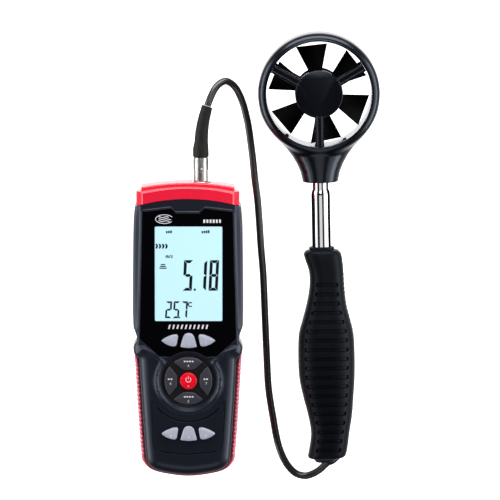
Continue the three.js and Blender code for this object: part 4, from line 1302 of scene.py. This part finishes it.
def make_window_print():
    """Generic marks in place of a title, a number and a badge: slanted bars and an air-flow sign."""
    skin = Skin()
    z = WINDOW_Z
    for k in range(10):
        skin.tile((-13.6 + 2.85 * k, 103.4), (1.1, 2.9), z, z + INK, slant=0.8)
    for k in range(6):
        skin.tile((10.6 + 2.15 * k, 176.3), (1.3, 2.34), z, z + INK)
    badge = np.array([-16, 178.9])
    stroke_path(skin, arc(1, 0.5, 5.7, 50) * (6.0, 3.0) + badge, 0.45, z)
    for k, reach in enumerate((3.6, 4.6, 3.0)):
        u = np.linspace(-4, reach, 24)
        wave = np.column_stack([u, 0.3 * np.sin(u * 1.2) + 1.35 * (k - 1)])
        stroke_path(skin, wave + badge, 0.5, z)
    piece("window_print", skin, on_meter, "meter", INK_WHITE)


# ---------- meter: keys ----------

PRINT_SINK = 0.04  # how far prints start under a key's crowned top


def make_key(name):
    loop, top, materials, slot, numeral = KEYS[name]
    arc_shaped = slot == "dark_key"
    skin = Skin()
    crown = 0.25
    skin.pillow(loop, KEY_FOOT, top - crown, 0.5 if arc_shaped else 0.45, crown)
    piece(name + "_cap", skin, on_meter, name, materials, name, sharp=50)
    if not numeral:
        return
    mark = Skin()
    u, v = loop.mean(0)
    mark.write(numeral, 2.4, (u, v - 1.7), top - PRINT_SINK, 0.06)
    if arc_shaped:
        for du in (-2.7, -0.9, 0.9, 2.7) if abs(u) < 3 else (-1.4, 0.4):
            mark.tile((u + du - 0.4, v + 0.9), (1.2, 0.9), top - PRINT_SINK, top + 0.02)
    piece(name + "_numeral", mark, on_meter, name, INK_WHITE)


def make_power_sign():
    skin = Skin()
    z = KEY_TOP["outer"] - 0.36
    centre = NAV + (0, 1.1)
    stroke_path(skin, arc(1.7, math.radians(128), math.radians(412), 40, centre), 0.42, z + 0.06)
    skin.tile(centre + (-0.2, 0.4), (0.4, 2.0), z, z + 0.09)
    skin.write("0", 1.7, NAV - (0, 3.5), z + 0.02, 0.07)
    piece("power_sign", skin, on_meter, "key_power", INK_WHITE)


def make_keys():
    for name in KEYS:
        make_key(name)
    make_power_sign()
    # A black bed under the keypad, which also stands in for the shade in the gaps between the keys.
    well = Skin()
    well.prism(circle(17.05, 120, NAV), 36.45, 37.5)
    piece("key_bed", well, on_meter, "meter", BLACK_BED_AND_SHADE)


# ---------- probe: ring, guards and rotor ----------

NECK_STATIONS = [  # (y, half-width, half-thickness)
    (-8, 39.6, 14), (-16, 37.6, 15), (-25, 33.1, 15.6), (-33.4, 27.6, 15.4), (-39, 23.1, 15),
    (-44.5, 19, 14.4), (-50.1, 15.9, 13.7), (-55.6, 13.6, 13), (-61, 12.4, 12.4), (-66, 12.1, 12.1),
]
MAST_HOLE_R = 5.8


def head_field(x, y, z):
    """Negative inside the ring and its neck."""
    h = z - AXIS_Z
    r = np.hypot(x, y - RING_Y)
    s = np.clip((np.abs(h) - RING["straight"]) / (RING["depth"] / 2 - RING["straight"]), 0, 1)
    outer = RING["core"] + RING["swell"] * (1 - s**2) ** 0.5 - 0.3 * (h / 17) ** 2
    ring = smooth_max(r - outer, np.abs(h) - RING["depth"] / 2, 0.9)
    ys, halves, thicks = np.array(NECK_STATIONS[::-1]).T
    half, thick = np.interp(y, ys, halves), np.interp(y, ys, thicks)
    q = np.sqrt((x / half) ** 2 + (h / thick) ** 2)
    neck = (q - 1) * np.minimum(half, thick) * 0.9
    neck = smooth_max(neck, NECK_END - y, 1.2)
    neck = smooth_max(neck, y + 10, 6.0)
    body = smooth_min(ring, neck, 3.0)
    inner = mix(RING["rear"], RING["inner"], np.clip(z / RING["depth"], 0, 1))
    body = smooth_max(body, inner - r, 0.5)
    mast = np.minimum(MAST_HOLE_R - np.hypot(x, h), -48.2 - y)
    return smooth_max(body, mast, 0.25)


def make_head():
    skin = field_skin(head_field, (-41.9, -62.8, 0), (41.9, 41.9, RING["depth"]), 0.75)
    points = np.vstack(skin.points)
    middles = points[np.array(skin.faces)].mean(1)
    bore = np.hypot(middles[:, 0], middles[:, 1] - RING_Y) < RING["inner"] + 0.12
    bore &= middles[:, 2] < RING["depth"] - 0.8
    skin.looks = bore.astype(int).tolist()
    materials = [HEAD_PLASTIC, BORE_PLASTIC]
    piece("head_shell", skin, on_probe, "head", materials, "head_housing", sharp=60)


def make_ring_lugs():
    """Two small catches inside the ring, under the front guard."""
    lugs = Skin()
    for turn in (-128.5, -61.7):
        out, along = spoke(math.radians(turn))
        rings = []
        for z, share in ((20, 0.2), (23, 1), (26.5, 1), (27, 0.7)):
            loop = [out * 36.6 - along * 1.7, out * 36.6 + along * 1.7, out * (36.4 - 1.5 * share) + along,
                    out * (36.4 - 1.5 * share) - along]
            rings.append(lifted(np.array(loop), z))
        lugs.loft(rings, caps=(True, True))
    piece("ring_lugs", lugs, on_ring, "head", HEAD_PLASTIC)


def strut(turn, low, high, start, reach, front):
    """An arm from the hub to the ring, with two ridges on its outer face."""
    half, ridge, r = 2.9, 1.6, 0.55
    turns = np.radians(np.linspace(0, 180, 9))
    bead = [(ridge + r * math.cos(a), 0.95 + r * math.sin(a)) for a in turns]
    right = [(half, 0), (half, 0.75), (half - 0.3, 0.95), *bead]
    section = right + [(-across, rise) for across, rise in right[::-1]]
    out, along = spoke(math.radians(turn))
    rings = []
    for r in (start, reach):
        ring = []
        for across, rise in section:
            share = min(rise, 0.95) / 0.95
            z = mix(low, high, share) + max(0, rise - 0.95)
            ring.append((*(out * r + along * across), z if front else low + high - z))
        rings.append(np.array(ring))
    return solid(rings)


def make_guard(name, face, reach, seat, front):
    """A hub disc on three arms; its outer face is at face and its bearing seat ends at seat."""
    inward = -1 if front else 1
    back = face + 3 * inward
    edge = 0.7
    rings = [lifted(circle(HUB_R, 96), back), lifted(circle(HUB_R, 96), face + edge * inward)]
    for a in np.radians([30, 60, 90]):
        z = face + edge * inward * (1 - math.sin(a))
        rings.append(lifted(circle(HUB_R - edge * (1 - math.cos(a)), 96), z))
    obj = mesh_object(name, solid(rings), on_ring)
    carve(obj, drum(0, 0, 4.6, *sorted((seat, face + 2 * inward))), on_ring, "UNION")
    low, high = sorted((face + 0.3 * inward, back - 0.3 * inward))
    for turn in (30, 150, 270):
        carve(obj, strut(turn, low, high, HUB_R - 1.4, reach, front), on_ring, "UNION")
    carve(obj, drum(0, 0, 2.9, *sorted((seat + inward, seat - 2.2 * inward))), on_ring)
    finish_piece(obj, "head", HEAD_PLASTIC, name, 32)


ROTOR = {"hub": 14.6, "tip": 34.8, "low": 10.4, "high": 24.4, "thick": 1.1}
BLADE = {"first": 97.7, "half_angle": 18.0, "pitch": 28.0}


def blade_skin(turn):
    """A flat blade that widens to a straight tip, pitched about its own radius."""
    spread, pitch = math.radians(BLADE["half_angle"]), math.radians(BLADE["pitch"])
    root, tip = ROTOR["hub"] - 0.8, ROTOR["tip"] * math.cos(spread)
    rings = []
    half_thick = ROTOR["thick"] / 2
    out, along = (np.append(way, 0) for way in spoke(turn))
    for r, thin in ((root, 1), (tip - 0.3, 1), (tip, 0.5)):
        half = r * math.tan(spread) / math.cos(pitch) * (0.9 if r == root else 1)
        ring = []
        for a in np.radians([-90, -45, 0, 45, 90, 90, 135, 180, 225, 270]):
            side = 1 if math.cos(a) > -1e-9 and len(ring) < 5 else -1
            w = side * (half - half_thick) + half_thick * math.cos(a)
            t = half_thick * thin * math.sin(a)
            ring.append(out * r + along * (w * math.cos(pitch) + t * math.sin(pitch))
                        + np.array([0, 0, AXIS_Z + t * math.cos(pitch) - w * math.sin(pitch)]))
        rings.append(np.array(ring))
    return solid(rings)


def make_rotor():
    hub, low, high = ROTOR["hub"], ROTOR["low"], ROTOR["high"]
    cup = Skin()
    cup.lathe([
        (1.3, low + 4), (4, low + 4), (4, high - 2), (hub - 1.6, high - 2), (hub - 1.6, low), (hub, low),
        (hub, high - 0.8), (hub - 0.25, high - 0.25), (hub - 0.8, high), (1.3, high), (1.3, low + 4),
    ], 96)
    obj = mesh_object("rotor_body", cup, on_ring)
    for k in range(6):
        carve(obj, blade_skin(math.radians(BLADE["first"] + 60 * k)), on_ring, "UNION")
    finish_piece(obj, "rotor", VANE, "rotor", 30)


# ---------- probe: mast and handle ----------


def lying_tube(profile):
    """A turned piece round the mast's axis, from (r, y)."""
    skin = Skin()
    skin.lathe(profile, 64, (0, AXIS_Z), "y")
    return skin


def make_mast():
    outer = [(5.8, -203), (6.4, -203), (6.4, -72), (6.3, -70.6), (6.05, -69.3), (5.75, -68.5), (5.65, -68.2),
             (5.45, -68.2), (5.45, -69), (5.8, -72), (5.8, -203)]
    inner = [(4.7, -190), (5.3, -190), (5.3, -48.5), (4.7, -48.5), (4.7, -190)]
    piece("outer_tube", lying_tube(outer), on_probe, "mast", CHROME, "mast_outer", sharp=50)
    piece("inner_tube", lying_tube(inner), on_probe, "head", CHROME, "mast_inner", sharp=50)


HANDLE_STATIONS = [  # (y, half-width, half-thickness, offset of the middle)
    (-107.3, 7.6, 7.6, 0), (-107.8, 8.6, 8.6, 0), (-109.3, 8.9, 8.9, 0.1), (-109.8, 10.8, 10.4, 0.2),
    (-111.2, 12.3, 11.6, 0.3), (-113, 12.9, 12, 0.6), (-117, 12.7, 12.2, 1.5), (-125, 11.9, 12.4, 3),
    (-136, 12.2, 13, 3.2), (-148, 14, 14, 2.6), (-158, 16.6, 15, 2.4), (-168, 18.9, 16, 2.1),
    (-183, 19.5, 16.8, 2), (-198, 19.1, 16.8, 2.1), (-212, 17.2, 16, 2.9), (-224, 15.2, 15, 3.8),
    (-236, 13.3, 14, 3.7), (-247, 13.2, 13.4, 2.2), (-252, 13, 13, 1), (-253.6, 11.4, 11.4, 0.5),
    (-254, 9, 10, 0.2), (-256.5, 6.4, 7, 0),
]
HANDLE_BORE = {"r": 6.75, "end": -246.0}
SLOT = {"first": -132.9, "pitch": 6.35, "count": 19, "height": 2.8, "depth": 1.4, "margin": 4.4}
HANDLE_SCREWS = [(-12, -185), (15.5, -185)]


def handle_rows():
    """Stations at close steps, with slot edges on a row."""
    path = through(HANDLE_STATIONS, 8)
    y = np.minimum.accumulate(path[:, 0])
    step = SLOT["pitch"] / 18
    first = SLOT["first"] + math.floor((HANDLE_STATIONS[0][0] - SLOT["first"]) / step) * step
    rows = np.arange(first, HANDLE_STATIONS[-1][0], -step)
    ends = y[(y > -112) | (y < -252)]
    rows = np.unique(np.concatenate([rows, ends]))[::-1]
    keep = np.concatenate([[True], np.diff(rows) < -0.02])
    rows = rows[keep]
    return np.column_stack([rows] + [np.interp(-rows, -y, path[:, k]) for k in (1, 2, 3)])


def slot_depth(x, y, half, offset):
    k = np.clip(np.round((SLOT["first"] - y) / SLOT["pitch"]), 0, SLOT["count"] - 1)
    away = y - (SLOT["first"] - k * SLOT["pitch"])
    r = SLOT["height"] / 2
    reach = half - SLOT["margin"] - r
    gap = np.hypot(np.maximum(np.abs(x - offset) - reach, 0), away) - r
    return SLOT["depth"] * (1 - smoothstep(gap, -0.36, 0.05))


def handle_skin(front):
    """Half of the handle's shell, split on the mast's axis."""
    steps = 120 if front else 64
    turns = np.linspace(0, math.pi, steps)
    inner_turns = np.linspace(math.pi, 0, 25)
    side = 1 if front else -1
    rings = []
    for y, half, thick, offset in handle_rows():
        c, s = np.cos(turns), np.sin(turns)
        x = np.sign(c) * np.abs(c) ** 0.8 * half + offset
        h = np.abs(s) ** 0.8 * thick
        rib = 0.22 * (0.5 - 0.5 * math.cos(2 * math.pi * (y - SLOT["first"]) / (SLOT["pitch"] / 2)))
        rib *= smoothstep(-y, 120, 126) * (1 - smoothstep(-y, 165, 172))
        x = x - rib * smoothstep(c, 0.55, 0.95)
        if front:
            h = h - slot_depth(x, y, half, offset)
        bore = HANDLE_BORE["r"] * (1 - smoothstep(-y, -HANDLE_BORE["end"] - 0.2, -HANDLE_BORE["end"] + 0.2))
        bore = max(bore, 0.02)
        bx, bh = bore * np.cos(inner_turns), bore * np.sin(inner_turns)
        x, h = np.concatenate([x, bx]), np.maximum(np.concatenate([h, bh]), GAP / 4)
        rings.append(np.column_stack([x, np.full(len(x), y), AXIS_Z + side * h]))
    return solid(rings)


def to_probe(skin):
    """The same skin, from metres' frame to the probe's own."""
    turn = np.array(Matrix.Rotation(PROBE_TILT, 3, "Z"))
    skin.points = [(np.vstack(skin.points) - HEAD) @ turn]
    return skin


def make_handle():
    hole = to_probe(gland_skin(0.3))
    piece("handle_top_half", handle_skin(True), on_probe, "probe", HANDLE, "handle_front",
          sharp=32, cuts=[hole])
    screw_wells = [drum(x, y, 3.1, -5, 6.4) for x, y in HANDLE_SCREWS]
    piece("handle_back_half", handle_skin(False), on_probe, "probe", HANDLE, "handle_rear",
          sharp=32, cuts=[hole, *screw_wells])


# ---------- everything ----------

PAINT = {
    "main_board": BOARD, "speed_pickup": BOARD, "backlight_panel": GUIDE, "keypad_mat": SILICONE,
    "battery_springs": STEEL, "battery_contacts": STEEL, "plug_insert": NICKEL, "rotor_shaft": STEEL,
    "front_bearing": BRASS, "rear_bearing": BRASS, "thermistor": STEEL,
}


def paint(node, material):
    """Gives every slot of a CAD node one material."""
    obj = frame["nodes"][node]
    if not obj.material_slots:
        obj.data.materials.append(None)
    for slot in obj.material_slots:
        slot.material = material


BY_SLOT = {
    "shell_plastic": SHELL, "red_plastic": RED, "red_rubber": RUBBER_RED, "window_gloss": BLACK_GLOSS,
    "lcd": LCD_PALE, "light_key": KEY_LIGHT, "dark_key": KEY_DARK, "red_key": KEY_RED,
    "satin_nickel": NICKEL, "steel": STEEL, "battery_wrap": WRAP, "boot_rubber": BOOT, "cord_rubber": CORD,
    "handle_plastic": HANDLE, "chrome": CHROME, "head_plastic": HEAD_PLASTIC, "rotor_plastic": VANE,
}


def paint_frame():
    """Materials for every CAD node, whether or not a piece replaces it."""
    for part in frame["record"]["subparts"]:
        node = part["node"]
        paint(node, PAINT.get(node) or BY_SLOT.get(part["material_slot"], SHELL))


make_camera()
make_lights()
make_floor()
paint_frame()
make_lead()
make_front_shell()
make_window_rim()
make_rear_shell()
make_battery_door()
make_cap()
make_socket()
make_grips()
make_window()
make_lower_panel()
make_display()
make_display_ink()
make_window_print()
make_keys()
make_head()
make_ring_lugs()
make_guard("front_guard", 32.6, 35.9, 26.4, True)
make_guard("rear_guard", 1.6, 35.2, 8.4, False)
make_rotor()
make_mast()
make_handle()
